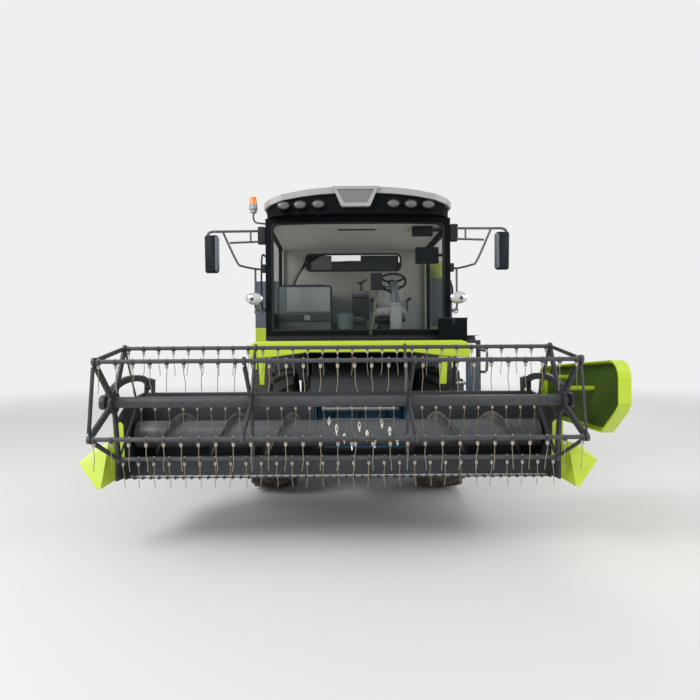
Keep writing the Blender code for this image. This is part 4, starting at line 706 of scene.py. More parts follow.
RIM = Finish("rim", Slot.RIM, (0.58, 0.60, 0.58), 0.38, 0.05, 0.15, 0.22, 0.08, 0.35, (0.25, 0.23, 0.21))
STEEL = Finish("steel", Slot.STEEL, (0.56, 0.57, 0.59), 0.26, 1.0, dust=0.12, grain=240.0, stretch=0.06)
ZINC = Finish("zinc", Slot.STEEL, (0.48, 0.48, 0.47), 0.36, 0.9, dust=0.10, tone=0.14)
CHROME = Finish("chrome", Slot.STEEL, (0.78, 0.79, 0.80), 0.08, 1.0, dust=0.02)
MIRROR = Finish("mirror_glass", Slot.STEEL, (0.82, 0.84, 0.86), 0.02, 1.0, dust=0.0, depth=0.0)
CAP = Finish("tine_cap", Slot.WHITE, (0.46, 0.38, 0.30), 0.5, dust=0.3, tone=0.45)
GUIDE = Finish("finger_guide", Slot.WHITE, (0.86, 0.84, 0.76), 0.35, dust=0.05, tone=0.1)
WIRE = Finish("tine_wire", Slot.STEEL, (0.30, 0.25, 0.18), 0.42, 0.45, dust=0.2, tone=0.3)
LINING = Finish("lining", Slot.WHITE, (0.40, 0.395, 0.345), 0.8, dust=0.0, tone=0.05, grain=380.0,
                depth=0.0010)
PANEL_GREY = Finish("panel_grey", Slot.WHITE, (0.30, 0.325, 0.325), 0.55, dust=0.0, grain=420.0,
                    depth=0.0006)
DARK_GREY = Finish("dark_grey", Slot.BLACK, (0.055, 0.062, 0.068), 0.55, dust=0.02, grain=420.0,
                   depth=0.0006)
CAST = Finish("cast", Slot.CAST, (0.09, 0.10, 0.10), 0.6, 0.5, dust=0.3, grain=90.0, depth=0.0015)
SHADOW = Finish("shadow", Slot.BLACK, (0.006, 0.006, 0.007), 0.8, dust=0.0)
AMBER = Finish("amber", Slot.AMBER, (0.90, 0.22, 0.012), 0.12, coat=0.6, dust=0.02)
RED_LENS = Finish("red_lens", Slot.AMBER, (0.55, 0.012, 0.010), 0.14, coat=0.6, dust=0.02)
LENS = Finish("lamp_lens", Slot.GLASS, (0.58, 0.60, 0.60), 0.16, 0.35, coat=0.8, dust=0.02)
LAMP_GREY = Finish("lamp_grey", Slot.GLASS, (0.125, 0.127, 0.12), 0.38, 0.2, coat=0.15, dust=0.02,
                   grain=160.0, depth=0.0012)
SCREEN = Finish("screen", Slot.BLACK, (0.010, 0.013, 0.017), 0.10, coat=0.4, dust=0.0)
THROAT = Finish("throat", Slot.CHARCOAL, (0.119, 0.420, 0.627), 0.5, dust=0.06, tone=0.10)
# The lining's blue darkened: painted shade for the back of the feeder's mouth.
THROAT_SHADE = Finish("throat_dark", Slot.CHARCOAL, (0.07, 0.20, 0.28), 0.6, dust=0.06)
CAST_BLACK = Finish("cast_black", Slot.CHARCOAL, (0.022, 0.024, 0.027), 0.5, 0.3, dust=0.16, tone=0.12)
CABINET = Finish("cabinet", Slot.BLACK, (0.12, 0.15, 0.155), 0.6, dust=0.0, grain=420.0, depth=0.0006)
MESH = Finish("mesh", Slot.BLACK, (0.19, 0.19, 0.185), 0.55, 0.3, dust=0.0, grain=260.0, depth=0.006)
PIPE_GREY = Finish("pipe_grey", Slot.CHARCOAL, (0.085, 0.090, 0.095), 0.38, 0.2, dust=0.04)
MIRROR_SHELL = Finish("mirror_shell", Slot.BLACK, (0.010, 0.016, 0.022), 0.45, dust=0.03, specular=0.12)
MIRROR_RIM = Finish("mirror_rim", Slot.BLACK, (0.10, 0.12, 0.135), 0.4, dust=0.03)
# A dark wiper arm tinted olive: the yellow-green tint is a painted highlight.
WIPER_OLIVE_HIGHLIGHT = Finish("wiper", Slot.BLACK, (0.11, 0.15, 0.03), 0.5, dust=0.0)
BAND = Finish("cabinet_band", Slot.BLACK, (0.028, 0.042, 0.048), 0.5, dust=0.0)
# Lime darkened to deep green: painted shade for the inner face of the reel drive cover.
COVER_PAINTED_SHADE = Finish("cover_inside", Slot.LIME, (0.045, 0.090, 0.006), 0.6, dust=0.1, tone=0.2)
GLASS = Glazing("glass", Slot.GLASS, (0.045, 0.062, 0.066), 0.02, clear=0.045)
SEAT_CLOTH = Cloth("seat_cloth", Slot.CLOTH, (0.42, 0.42, 0.39), 0.9)
SEAT_DARK = Cloth("seat_dark", Slot.CLOTH, (0.075, 0.085, 0.09), 0.9)

NODE_FINISHES: dict[Finish, tuple[str, ...]] = {
    CHARCOAL: ("chassis_frame", "front_axle", "rear_axle", "rear_knuckle_L", "rear_knuckle_R",
               "feeder_house", "header_frame", "reel_arm_L", "reel_arm_R", "reel_rotor", "tine_bar_1",
               "tine_bar_2", "tine_bar_3", "tine_bar_4", "tine_bar_5", "straw_spreader",
               "access_ladder", "lift_barrel_L", "lift_barrel_R"),
    SLATE: ("threshing_body", "grain_tank", "tank_lid_L", "tank_lid_R", "engine_hood", "straw_hood"),
    SIDES: ("side_panel_L", "side_panel_R"),
    AUGER_PAINT: ("auger",),
    LIME: ("reel_drive_cover", "divider_L", "divider_R", "front_bumper", "unloader_tube"),
    BLACK: ("cab_frame", "roof_visor", "cab_door"),
    SATIN: ("cab_floor", "steering_column", "side_console", "mirror_L", "mirror_R"),
    WHITE: ("cab_roof",),
    GLASS: ("windshield", "side_window", "rear_window", "door_glass"),
    RUBBER: ("front_tyre_L", "front_tyre_R", "rear_tyre_L", "rear_tyre_R"),
    RIM: ("front_rim_L", "front_rim_R", "rear_rim_L", "rear_rim_R"),
    STEEL: ("knife", "lift_rod_L", "lift_rod_R"),
    SEAT_CLOTH: ("driver_seat",),
    AMBER: ("beacon",),
    CAST: ("engine_block",),
}


def dress_nodes() -> None:
    """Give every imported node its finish."""
    for finish, names in NODE_FINISHES.items():
        for name in names:
            slots = frame["nodes"][name].data.materials
            slots.clear()
            slots.append(finish.material())


def show(form: Form | list[Form], name: str, finish: Finish, body: str = "machine",
         replaces: tuple[str, ...] = (), bevel: float = 0.0, smooth: float = 38.0) -> bpy.types.Object:
    """Make a form, or several as one, into a finished piece that rides on a body.

    Args:
        form: the closed surfaces, placed where the piece lies.
        name: the piece's name.
        finish: its finish.
        body: the body that it moves with.
        replaces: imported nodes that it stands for.
        bevel: width of a bevel on its sharp edges, or nothing.
        smooth: edges sharper than this angle in degrees stay sharp.

    Returns:
        The piece.
    """
    if isinstance(form, list):
        form = together(form)
    mesh = bpy.data.meshes.new(name)
    mesh.from_pydata(form.points.tolist(), [], [row for face in form.faces for row in face.tolist()])
    tidy = bmesh.new()
    tidy.from_mesh(mesh)
    bmesh.ops.remove_doubles(tidy, verts=tidy.verts, dist=1e-6)
    bmesh.ops.recalc_face_normals(tidy, faces=tidy.faces)
    tidy.to_mesh(mesh)
    tidy.free()
    mesh.shade_smooth()
    mesh.set_sharp_from_angle(angle=math.radians(smooth))
    piece = bpy.data.objects.new(name, mesh)
    bpy.context.scene.collection.objects.link(piece)
    mesh.materials.append(finish.material())
    if bevel:
        edge = piece.modifiers.new("bevel", "BEVEL")
        edge.width = bevel
        edge.segments = 2
        edge.limit_method = "ANGLE"
        edge.angle_limit = math.radians(34)
        edge.harden_normals = False
    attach(piece, body)
    if replaces:
        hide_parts(*replaces)
    log.info("%s: %d points on %s", name, len(mesh.vertices), body)
    return piece


def fit(form: Form | list[Form], name: str, finish: Finish, *more: object,
        **also: object) -> bpy.types.Object:
    """Show a form whose x is counted from the machine's middle, as all of the cab's and body's are."""
    whole = together(form) if isinstance(form, list) else form
    return show(whole.moved(MACHINE_X), name, finish, *more, **also)


def joint_place(name: str) -> np.ndarray:
    """Give a joint's place as an array."""
    joint = next(j for j in frame["joints"] if j["name"] == name)
    return np.array(joint["pos_m"], float)


# Studio


@dataclass(frozen=True)
class Studio:
    """The camera at the photograph's viewpoint, soft lamps and a pale floor."""

    eye: Point = (0.0, -7.864, 1.853)
    lens: float = 26.64
    shift_x: float = 0.0179
    roll_deg: float = 0.35
    floor_radius: float = 60.0
    floor_colour: Colour = (0.78, 0.78, 0.77)
    backdrop: Colour = (0.86, 0.865, 0.87)
    ambient: float = 0.55

    def build(self) -> None:
        """Set the view transform and make everything."""
        bpy.context.scene.view_settings.view_transform = "Standard"
        self.camera()
        self.lamps()
        self.world()
        self.floor()

    def camera(self) -> None:
        """Look level along +Y from the eye, with the photograph's slight roll."""
        data = bpy.data.cameras.new("camera")
        data.lens = self.lens
        data.shift_x = self.shift_x
        data.clip_end = 200.0
        camera = bpy.data.objects.new("camera", data)
        camera.location = self.eye
        camera.rotation_euler = (math.radians(90), math.radians(self.roll_deg), 0.0)
        bpy.context.scene.collection.objects.link(camera)
        bpy.context.scene.camera = camera

    def lamps(self) -> None:
        """Hang three soft lamps: a key at the upper left, a fill at the right and one behind."""
        rows = [
            # name, place, aim, size, power
            ("key", (-7.5, -8.5, 8.5), (0.0, -1.0, 1.6), 5.0, 900.0),
            ("fill", (8.5, -6.0, 5.0), (0.0, -0.5, 1.6), 6.0, 300.0),
            ("back", (3.0, 9.5, 7.5), (0.0, 1.0, 1.8), 6.0, 420.0),
        ]
        for name, place, aim, size, power in rows:
            data = bpy.data.lights.new(name, "AREA")
            data.size = size
            data.energy = power
            lamp = bpy.data.objects.new(name, data)
            lamp.location = place
            look = np.array(aim) - np.array(place)
            yaw = math.atan2(-look[0], look[1])
            pitch = math.atan2(look[2], math.hypot(look[0], look[1]))
            lamp.rotation_euler = (math.radians(90) + pitch, 0.0, yaw)
            bpy.context.scene.collection.objects.link(lamp)

    def world(self) -> None:
        """Light evenly from all round, and show a pale backdrop to the camera and in gloss."""
        world = bpy.data.worlds.new("studio")
        bpy.context.scene.world = world
        world.use_nodes = True
        graph = Graph(world.node_tree)
        world.node_tree.nodes.clear()
        rays = graph.add("LightPath")
        seen = graph.math("MAXIMUM", rays.outputs["Is Camera Ray"], rays.outputs["Is Transmission Ray"])
        seen = graph.math("MAXIMUM", seen, rays.outputs["Is Glossy Ray"])
        light = graph.add("Background", {"Color": (1, 1, 1, 1), "Strength": self.ambient})
        view = graph.add("Background", {"Color": (*self.backdrop, 1), "Strength": 1.0})
        both = graph.add("MixShader", {0: seen, 1: light.outputs[0], 2: view.outputs[0]})
        graph.add("OutputWorld", {0: both.outputs[0]})

    def floor(self) -> None:
        """Lay a wide pale disc on the ground that fades into the backdrop with the distance."""
        rim = laid(circle(self.floor_radius, 96), -0.001, Axis.Z)
        mesh = bpy.data.meshes.new("floor")
        mesh.from_pydata(rim.tolist(), [], [list(range(len(rim)))])
        floor = bpy.data.objects.new("floor", mesh)
        material = bpy.data.materials.new("floor")
        material.use_nodes = True
        shader = material.node_tree.nodes["Principled BSDF"]
        graph = Graph(material.node_tree)
        graph.fill(shader, {"Base Color": (*self.floor_colour, 1.0), "Roughness": 0.9})
        away = graph.add("VectorMath", {0: graph.place()}, operation="LENGTH").outputs["Value"]
        rays = graph.add("LightPath")
        seen = graph.math("MAXIMUM", rays.outputs["Is Camera Ray"], rays.outputs["Is Glossy Ray"])
        far = graph.add("MapRange", {0: away, 1: 5.0, 2: 24.0}, interpolation_type="SMOOTHSTEP").outputs[0]
        glow = graph.add("Emission", {"Color": (*self.backdrop, 1), "Strength": 1.0})
        both = graph.add("MixShader",
                         {0: graph.math("MULTIPLY", far, seen), 1: shader.outputs[0], 2: glow.outputs[0]})
        graph.fill(material.node_tree.nodes["Material Output"], {0: both.outputs[0]})
        mesh.materials.append(material)
        bpy.context.scene.collection.objects.link(floor)


# Reel


@dataclass
class Reel:
    """The tined reel: a tube with four spiders, five tine bars and the arms that hold it."""

    half: float = 1.945
    tube_radius: float = 0.048
    bar_radius: float = 0.0175
    wire_radius: float = 0.0031
    wire_top: float = 0.062
    wire_length: float = 0.191
    arm_x: float = 2.0125
    bars: int = 5
    pitch: float = 0.135
    tines: int = 29
    end_x: float = 1.925
    middle_x: tuple[float, float] = (-0.74, 0.61)
    plate: float = 0.014
    centre: np.ndarray = field(default_factory=lambda: joint_place("reel_spin"))
    pivot: np.ndarray = field(default_factory=lambda: joint_place("reel_lift"))

    def build(self) -> None:
        """Make the bars, the rotor and the arms."""
        for number in range(1, self.bars + 1):
            self.bar(number)
        self.rotor()
        self.arms()

    def places(self) -> np.ndarray:
        """Give each tine's x: equal pitches about the middle."""
        return (np.arange(self.tines) - (self.tines - 1) / 2) * self.pitch

    def bar(self, number: int) -> None:
        """Make one bar's tube with its bolts, its caps and its wires.

        A cap is a turned drop below the bar. A wire hangs from it on a line whose x leans by a
        small seeded amount times the depth's square, and whose y curls to the back.

        Args:
            number: the bar's number, from one.
        """
        y, z = joint_place(f"tine_bar_{number}_turn")[1:]
        body = f"tine_bar_{number}"
        x = self.places()
        rows = np.stack([x, np.full_like(x, y), np.full_like(x, z)], axis=-1)
        tube = turned([(self.bar_radius * 0.6, -self.half), (self.bar_radius, -self.half + 0.004),
                       (self.bar_radius, self.half - 0.004), (self.bar_radius * 0.6, self.half)],
                      Axis.X, (0, y, z), 20)
        clamp = block((-0.012, -0.024, -0.026), (0.012, 0.024, 0.010), 0.004)
        head = bolt(0.006, 0.008, Axis.Z).moved(z=self.bar_radius - 0.001)
        show(tube + clamp.copies(rows), f"reel_bar_{number}", CHARCOAL, body, (body,))
        show(head.copies(rows), f"bar_bolts_{number}", ZINC, body)
        cap = turned([(0.004, -0.061), (0.009, -0.058), (0.0125, -0.048), (0.013, -0.036),
                      (0.011, -0.027), (0.006, -0.022)], Axis.Z, ORIGIN, 12)
        show(cap.copies(rows), f"tine_caps_{number}", CAP, body)
        show(self.wires(rows, number), f"tine_wires_{number}", WIRE, body)

    def wires(self, rows: np.ndarray, number: int) -> Form:
        """Work out all of a bar's wires as one form, each a ring of six carried down its line.

        Args:
            rows: the tines' places on the bar.
            number: the bar's number, which seeds their leans.

        Returns:
            The wires with flat ends.
        """
        chance = np.random.default_rng(40 + number)
        lean = chance.normal(0.0, 0.011, (len(rows), 1))
        curl = chance.normal(0.010, 0.004, (len(rows), 1))
        share = np.linspace(0, 1, 9)[None]
        x = rows[:, :1] + lean * share ** 2 + 0.003 * np.sin(share * 7 + lean * 300)
        y = rows[:, 1:2] + curl * np.sin(share * math.pi * 0.9) + 0.010 * share ** 3
        z = rows[:, 2:] - self.wire_top - self.wire_length * share
        spine = np.stack([x, y, np.broadcast_to(z, x.shape)], axis=-1)
        ring = laid(circle(self.wire_radius, 6), 0.0, Axis.Z)
        rings = spine[:, :, None] + ring[None, None]
        forms = skin(rings.reshape(-1, 6, 3), capped=False)
        per_wire = len(share[0])
        quads = forms.faces[0].reshape(-1, 6, 4)
        keep = (np.arange(len(quads)) + 1) % per_wire != 0
        index = np.arange(len(rows) * per_wire * 6).reshape(len(rows), per_wire, 6)
        return Form(forms.points, [quads[keep].reshape(-1, 4), index[:, 0, ::-1], index[:, -1]])

    def bar_angles(self) -> np.ndarray:
        """Give each bar's angle about the reel's axis, in the plane of y and z."""
        places = np.array([joint_place(f"tine_bar_{n}_turn") for n in range(1, self.bars + 1)])
        return np.arctan2(places[:, 2] - self.centre[2], places[:, 1] - self.centre[1])

    def reach(self) -> float:
        """Give the bars' distance from the reel's axis."""
        return float(np.linalg.norm(joint_place("tine_bar_1_turn")[1:] - self.centre[1:]))

    def spider(self, x: float, is_end: bool) -> list[Form]:
        """Make one spider: a bolted hub disc, folded arms, bearing eyes and, at an end, struts.

        An arm is a shallow channel: a flat web and two lips at right angles to it.

        Args:
            x: its place along the tube.
            is_end: whether it is one of the two outer ones.

        Returns:
            Its forms.
        """
        _, cy, cz = self.centre
        reach = self.reach()
        half = self.plate / 2
        thin = 0.0035
        forms = [turned([(0.052, -half - 0.018), (0.060, -half - 0.016), (0.060, -half), (0.105, -half),
                         (0.105, half), (0.060, half), (0.060, half + 0.016), (0.052, half + 0.018)],
                        Axis.X, (x, cy, cz), 40)]
        forms.append(bolt(0.009, 0.010, Axis.X, 1).copies(
            ring_places(10, 0.085, Axis.X, (x + half, cy, cz), 0.3)))
        side = 1 if x > self.centre[0] else -1
        for angle in self.bar_angles():
            degrees = math.degrees(angle)
            web = block((x - thin, 0.075, -0.027), (x + thin, reach + 0.002, 0.027), 0.003)
            lips = [block((x - half - 0.008, 0.095, s * 0.027 - thin),
                          (x + half, reach - 0.045, s * 0.027 + thin), 0.002) for s in (-1, 1)]
            arm = together([web, *lips])
            eye = turned([(0.022, -half - 0.004), (0.033, -half - 0.004), (0.033, half + 0.004),
                          (0.022, half + 0.004)], Axis.X, (x, reach, 0), 24, closed=True)
            placed = (arm + eye).turned(Axis.X, degrees).moved(y=cy, z=cz)
            forms.append(placed)
            if is_end:
                forms.append(self.strut(x, angle, reach, cy, cz))
            else:
                brace = pipe([(x + side * 0.004, 0.115, 0.0), (x + side * 0.004, reach - 0.07, 0.012)],
                             0.006, 8)
                forms.append(brace.turned(Axis.X, degrees).moved(y=cy, z=cz))
        return forms

    def strut(self, x: float, angle: float, reach: float, cy: float, cz: float) -> Form:
        """Make the flat strut from one bar's bearing to the next along the end spider's rim.

        Args:
            x: the spider's place along the tube.
            angle: the first bar's angle.
            reach: the bars' distance from the axis.
            cy: the axis' place in y.
            cz: its height.

        Returns:
            The strut with its folded lip.
        """
        step = 2 * math.pi / self.bars
        chord = 2 * reach * math.sin(step / 2)
        bar = block((x - 0.004, 0.032, -0.017), (x + 0.004, chord - 0.032, 0.017), 0.003)
        lip = block((x - 0.014, 0.045, -0.019), (x - 0.001, chord - 0.045, -0.012), 0.002)
        start = (cy + reach * math.cos(angle), cz + reach * math.sin(angle))
        lean = math.degrees(angle + step / 2 + math.pi / 2)
        return (bar + lip).turned(Axis.X, lean).moved(y=start[0], z=start[1])

    def rotor(self) -> None:
        """Make the reel's tube, its journals and all four spiders."""
        _, cy, cz = self.centre
        end = self.end_x
        tube = turned([(self.tube_radius, -end), (self.tube_radius, end)], Axis.X, (0, cy, cz), 48)
        journals = [turned([(0.0295, s * (end - 0.02)), (0.0295, s * 2.033), (0.024, s * 2.0345)],
                           Axis.X, (0, cy, cz), 28) for s in (-1, 1)]
        spiders = []
        for x in (-end, end):
            spiders += self.spider(x, True)
        for x in self.middle_x:
            spiders += self.spider(x, False)
        show([tube, *journals], "reel_tube", CHARCOAL, "reel", ("reel_rotor",))
        show(spiders, "reel_spiders", CHARCOAL, "reel")

    def arms(self) -> None:
        """Make the two arms as bent box tubes with bearing housings and grease caps."""
        _, cy, cz = self.centre
        _, py, pz = self.pivot
        spine = curve([(py, pz), (cy + 0.86, pz + 0.07), (cy + 0.50, pz + 0.083), (cy + 0.22, pz + 0.03),
                       (cy, cz)], 8)
        for side, tag in SIDES_OF:
            x = side * self.arm_x
            path = np.stack([np.full(len(spine), x), spine[:, 0], spine[:, 1]], axis=-1)
            arm = swept(path, rounded(0.032, 0.021, 0.006, 3), ACROSS)
            eyes = [turned([(0.0315, -0.022), (0.062, -0.022), (0.064, -0.016), (0.064, 0.016),
                            (0.062, 0.022), (0.0315, 0.022)], Axis.X, (x, y, z), 32, closed=True)
                    for y, z in ((cy, cz), (py, pz))]
            bolts = bolt(0.008, 0.010, Axis.X, side).copies(
                ring_places(4, 0.050, Axis.X, (x + side * 0.021, cy, cz), math.pi / 4))
            show([arm, *eyes, bolts], f"reel_arm_form_{tag}", CHARCOAL, "reel_arms", (f"reel_arm_{tag}",))


# Wheels


@dataclass(frozen=True)
class Wheel:
    """One wheel: a tyre with chevron lugs and a dished, bolted rim."""

    tag: str
    spin: str
    radius: float
    width: float
    rim_radius: float
    lugs: int
    lug_height: float
    side: int
    nuts: int
    rows: int = 22
    hub_face: float = 0.146

    def build(self) -> None:
        """Make the tyre and the rim on the wheel's body."""
        centre = tuple(joint_place(self.spin))
        body = self.spin.removesuffix("_spin")
        end, letter = self.tag.split("_")
        show(self.tyre(centre), f"tyre_{self.tag}", RUBBER, body, (f"{end}_tyre_{letter}",), smooth=30)
        show(self.rim(centre), f"rim_{self.tag}", RIM, body, (f"{end}_rim_{letter}",), smooth=30)
        face = centre[0] + self.side * self.hub_face
        ring = ring_places(self.nuts, self.rim_radius * 0.355, Axis.X, (face, *centre[1:]))
        show(bolt(0.012, 0.020, Axis.X, self.side).copies(ring), f"wheel_nuts_{self.tag}", ZINC, body)

    def tyre(self, centre: Point) -> Form:
        """Work out the tyre as one closed grid.

        The carcass is a smooth loop of (share of half width, radius). Over the tread a lug
        stands where the angle, measured in pitches and slanted with the distance from the
        middle, lies in the first part of a pitch; the right half is shifted by half a pitch.
        Its height rises and falls by a smooth step, and fades down the shoulders.

        Args:
            centre: the wheel's centre.

        Returns:
            The tyre.
        """
        rim, top = self.rim_radius, self.radius - self.lug_height
        middle = 0.5 * (rim + top)
        half_loop = [(0.80, rim + 0.001), (0.90, rim + 0.016), (0.985, middle - 0.35 * (middle - rim)),
                     (1.0, middle), (0.985, middle + 0.45 * (top - middle)), (0.925, top * 0.945),
                     (0.86, top * 0.972), (0.60, top * 0.989), (0.30, top * 0.998), (0.05, top)]
        right = curve(half_loop, 4)
        loop = np.concatenate([right, right[::-1] * [-1, 1]])
        share, low = loop[:, 0], loop[:, 1]
        count = self.lugs * self.rows
        turn = np.arange(count) / self.rows
        across = np.abs(share)
        slant = 0.85 * np.clip((0.88 - across) / 0.85, 0, 1)
        place = turn[None] - slant[:, None] - np.where(share > 0, 0.56, 0.06)[:, None]
        phase = place % 1.0
        step, lug_end = 0.07, 0.46
        rise = np.clip(phase / step, 0, 1) * np.clip((lug_end - phase) / step, 0, 1)
        rise = rise * rise * (3 - 2 * rise)
        fade = np.clip((across - 0.015) / 0.02, 0, 1) * np.clip((low - top * 0.90) / (top * 0.045), 0, 1)
        high = self.radius - self.radius * 0.028 * across ** 2
        grown = low[:, None] + rise * (fade * np.maximum(high - low, 0))[:, None]
        angle = 2 * np.pi * turn / self.lugs - math.pi / 2
        x = np.broadcast_to(centre[0] + share[:, None] * self.width / 2, grown.shape)
        y = centre[1] + grown * np.cos(angle)
        z = centre[2] + grown * np.sin(angle)
        return skin(np.stack([x, y, z], axis=-1), closed=True)

    def rim(self, centre: Point) -> Form:
        """Turn the rim's section: hub, dish, both flanges and the cap over the axle's end.

        Args:
            centre: the wheel's centre.

        Returns:
            The rim with the holes' collars on its dish.
        """
        w = self.rim_radius - 0.0015
        half = self.width * 0.40
        loop = [
            # radius, place outwards
            (w * 0.34, -0.098), (w * 0.34, 0.056), (w * 0.50, 0.050), (w * 0.68, 0.036),
            (w * 0.83, 0.004), (w * 0.885, -0.020), (w * 0.90, 0.030 - half), (w * 0.945, -half),
            (w * 0.985, -half - 0.010), (w, -half - 0.002), (w, 0.014 - half), (w * 0.955, 0.032 - half),
            (w * 0.955, half - 0.032), (w, half - 0.014), (w, half + 0.002), (w * 0.985, half + 0.010),
            (w * 0.945, half), (w * 0.90, half - 0.030), (w * 0.89, 0.052), (w * 0.84, 0.048),
            (w * 0.72, 0.064), (w * 0.56, 0.084), (w * 0.50, 0.090), (w * 0.475, 0.135),
            (w * 0.455, 0.144), (w * 0.245, self.hub_face), (w * 0.235, 0.182), (w * 0.20, 0.198),
            (w * 0.02, 0.199),
        ]
        rows = [(radius, self.side * place) for radius, place in loop]
        hub = turned(rows, Axis.X, centre, 72)
        holes = turned([(0.020, self.side * 0.045), (0.020, self.side * 0.068), (0.013, self.side * 0.070)],
                       Axis.X, ORIGIN, 16)
        return hub + holes.copies(ring_places(8, w * 0.655, Axis.X, centre, 0.2))


# Header


def helicoid(start: float, end: float, hand: int, centre: Point, inner: float, outer: float,
             pitch: float, phase: float = 0.1, thick: float = 0.007) -> Form:
    """Wind a flight on a drum.

    At distance s from the start the flight's radius turns to the angle
    phase + hand * 2 pi s / pitch, from the inner to the outer radius.

    Args:
        start: x where it begins.
        end: x where it ends.
        hand: 1 or -1, the way it winds.
        centre: a point on the drum's axis.
        inner: radius of its root.
        outer: radius of its edge.
        pitch: advance in one turn.
        phase: angle at the start.
        thick: its thickness.

    Returns:
        The flight.
    """
    x = np.linspace(start, end, max(8, int(abs(end - start) / pitch * 64)))
    angle = phase + hand * 2 * math.pi * np.abs(x - start) / pitch
    fade = np.clip(np.minimum(np.abs(x - start), np.abs(x - end)) / 0.05, 0.25, 1.0)
    rim = inner + (outer - inner) * fade
    middle = (inner + rim) / 2
    rings = []
    for radius, shift in ((inner, -1), (middle, -0.9), (rim, -0.55), (rim, 0.55), (middle, 0.9), (inner, 1)):
        at = np.broadcast_to(radius, x.shape)
        rings.append(np.stack([x + shift * thick / 2, centre[1] + at * np.cos(angle),
                               centre[2] + at * np.sin(angle)], axis=-1))
    return skin(np.stack(rings, axis=1))


@dataclass
class Header:
    """The header: the auger, the knife's guards, ribs, skids, bolts and the feeder's mouth."""

    end: float = 2.05
    drum_radius: float = 0.135
    flight_radius: float = 0.214
    pitch: float = 0.55
    fingers: int = 10
    guard_pitch: float = 0.0762
    guards: int = 53
    sheet_behind: float = 0.354
    auger: np.ndarray = field(default_factory=lambda: joint_place("auger_spin"))

    def build(self) -> None:
        """Make every part of the header."""
        self.feed_auger()
        self.knife_guards()
        self.underside()
        self.mouth()
        self.side_sheets()

    @property
    def back(self) -> float:
        """Give the back sheet's place, measured from the auger's axis."""
        return float(self.auger[1]) + self.sheet_behind

    def feed_auger(self) -> None:
        """Make the drum with its end caps, both flights and the fingers in their guides."""
        _, y, z = self.auger
        half = self.end - 0.031
        radius = self.drum_radius
        drum = turned([(0.040, -half - 0.030), (0.040, -half), (radius - 0.004, -half),
                       (radius, -half + 0.004), (radius, half - 0.004), (radius - 0.004, half),
                       (0.040, half), (0.040, half + 0.030)], Axis.X, (0, y, z), 72)
        show(drum, "auger_drum", AUGER_PAINT, "auger", ("auger",))
        flights = [helicoid(side * (self.end - 0.062), MACHINE_X + side * 0.45, -1, (0, y, z),
                            radius - 0.002, self.flight_radius, self.pitch) for side in (-1, 1)]
        show(flights, "auger_flights", FLIGHT_PAINT, "auger", smooth=50)
        rods, guides = [], []
        for i in range(self.fingers):
            x = MACHINE_X + (i - (self.fingers - 1) / 2) * 0.075
            degrees = 120 + 110 * (i * 3 % self.fingers) / (self.fingers - 1)
            rod = turned([(0.008, 0.10), (0.008, 0.198), (0.004, 0.2045)], Axis.Y, ORIGIN, 12)
            guide = turned([(0.004, -0.055), (0.013, -0.042), (0.018, -0.020), (0.015, 0.008),
                            (0.008, 0.036), (0.003, 0.058)], Axis.Z, ORIGIN, 16)
            guide = guide.scaled(y=0.5).moved(y=radius + 0.002)
            rods.append(rod.turned(Axis.X, degrees).moved(x, y, z))
            guides.append(guide.turned(Axis.X, degrees).moved(x, y, z))
        show(rods, "auger_fingers", CHROME, "auger")
        show(guides, "finger_guides", GUIDE, "auger")

    def knife_guards(self) -> None:
        """Make the pointed guards round the knife, with the bar that they are bolted to."""
        y, z = KNIFE_Y, KNIFE_Z
        places = np.zeros((self.guards, 3))
        places[:, 0] = (np.arange(self.guards) - (self.guards - 1) / 2) * self.guard_pitch
        lower = [(0.018, 0.024, z - 0.011), (0.008, -0.012, z - 0.011), (0.006, -0.055, z - 0.010),
                 (0.0015, -0.069, z - 0.007)]
        flats = [rounded(r, min(r, 0.0045), min(r, 0.0045) * 0.9, 3) for r, _, _ in lower]
        rings = np.stack([laid(flat, y + v, Axis.Y) + [0, 0, h] for flat, (_, v, h) in zip(flats, lower)])
        upper = [(0.0030, -0.067, z - 0.005), (0.0040, -0.062, z + 0.0095), (0.0040, -0.030, z + 0.0110),
                 (0.0030, -0.016, z + 0.0115)]
        hood = np.stack([laid(circle(r, 8), y + v, Axis.Y) + [0, 0, h] for r, v, h in upper])
        show((skin(rings) + skin(hood)).copies(places), "knife_guards", CAST_BLACK, "header")
        show(block((-1.96, y - 0.010, z - 0.0004), (1.96, y - 0.002, z + 0.012), 0.002),
             "knife_back", STEEL, "knife")
        show(bolt(0.007, 0.006, Axis.Z).copies(places[::2] + [0, y + 0.022, z - 0.004]),
             "guard_bolts", ZINC, "header")

    def underside(self) -> None:
        """Make the skid shoes under the trough and the ribs and beads on the header's back."""
        back = self.back
        shoes = []
        for x in (-1.45, -0.40, 0.75, 1.70):
            path = [(x, back - 0.02, 0.634), (x, back - 0.10, 0.628), (x, back - 0.30, 0.627),
                    (x, back - 0.42, 0.638), (x, back - 0.50, 0.660)]
            shoes.append(swept(curve(path, 5), rounded(0.005, 0.055, 0.004, 3), ACROSS))
        show(shoes, "skid_shoes", CAST_BLACK, "header")
        posts = []
        for x in (-1.95, -1.15, 1.15, 1.95):
            posts.append(block((x - 0.025, back - 0.012, 0.74), (x + 0.025, back + 0.022, 1.30), 0.006))
        posts.append(block((-2.0, back - 0.004, 0.655), (2.0, back + 0.014, 0.675), 0.004))
        posts.append(block((-2.0, back - 0.004, 1.335), (2.0, back + 0.014, 1.355), 0.004))
        show(posts, "header_ribs", CHARCOAL, "header")
        places = [(x, back, z) for x in np.linspace(-1.9, 1.9, 9) for z in (1.315, 1.375)]
        show(bolt(0.010, 0.010, Axis.Y).copies(places), "header_bolts", ZINC, "header")

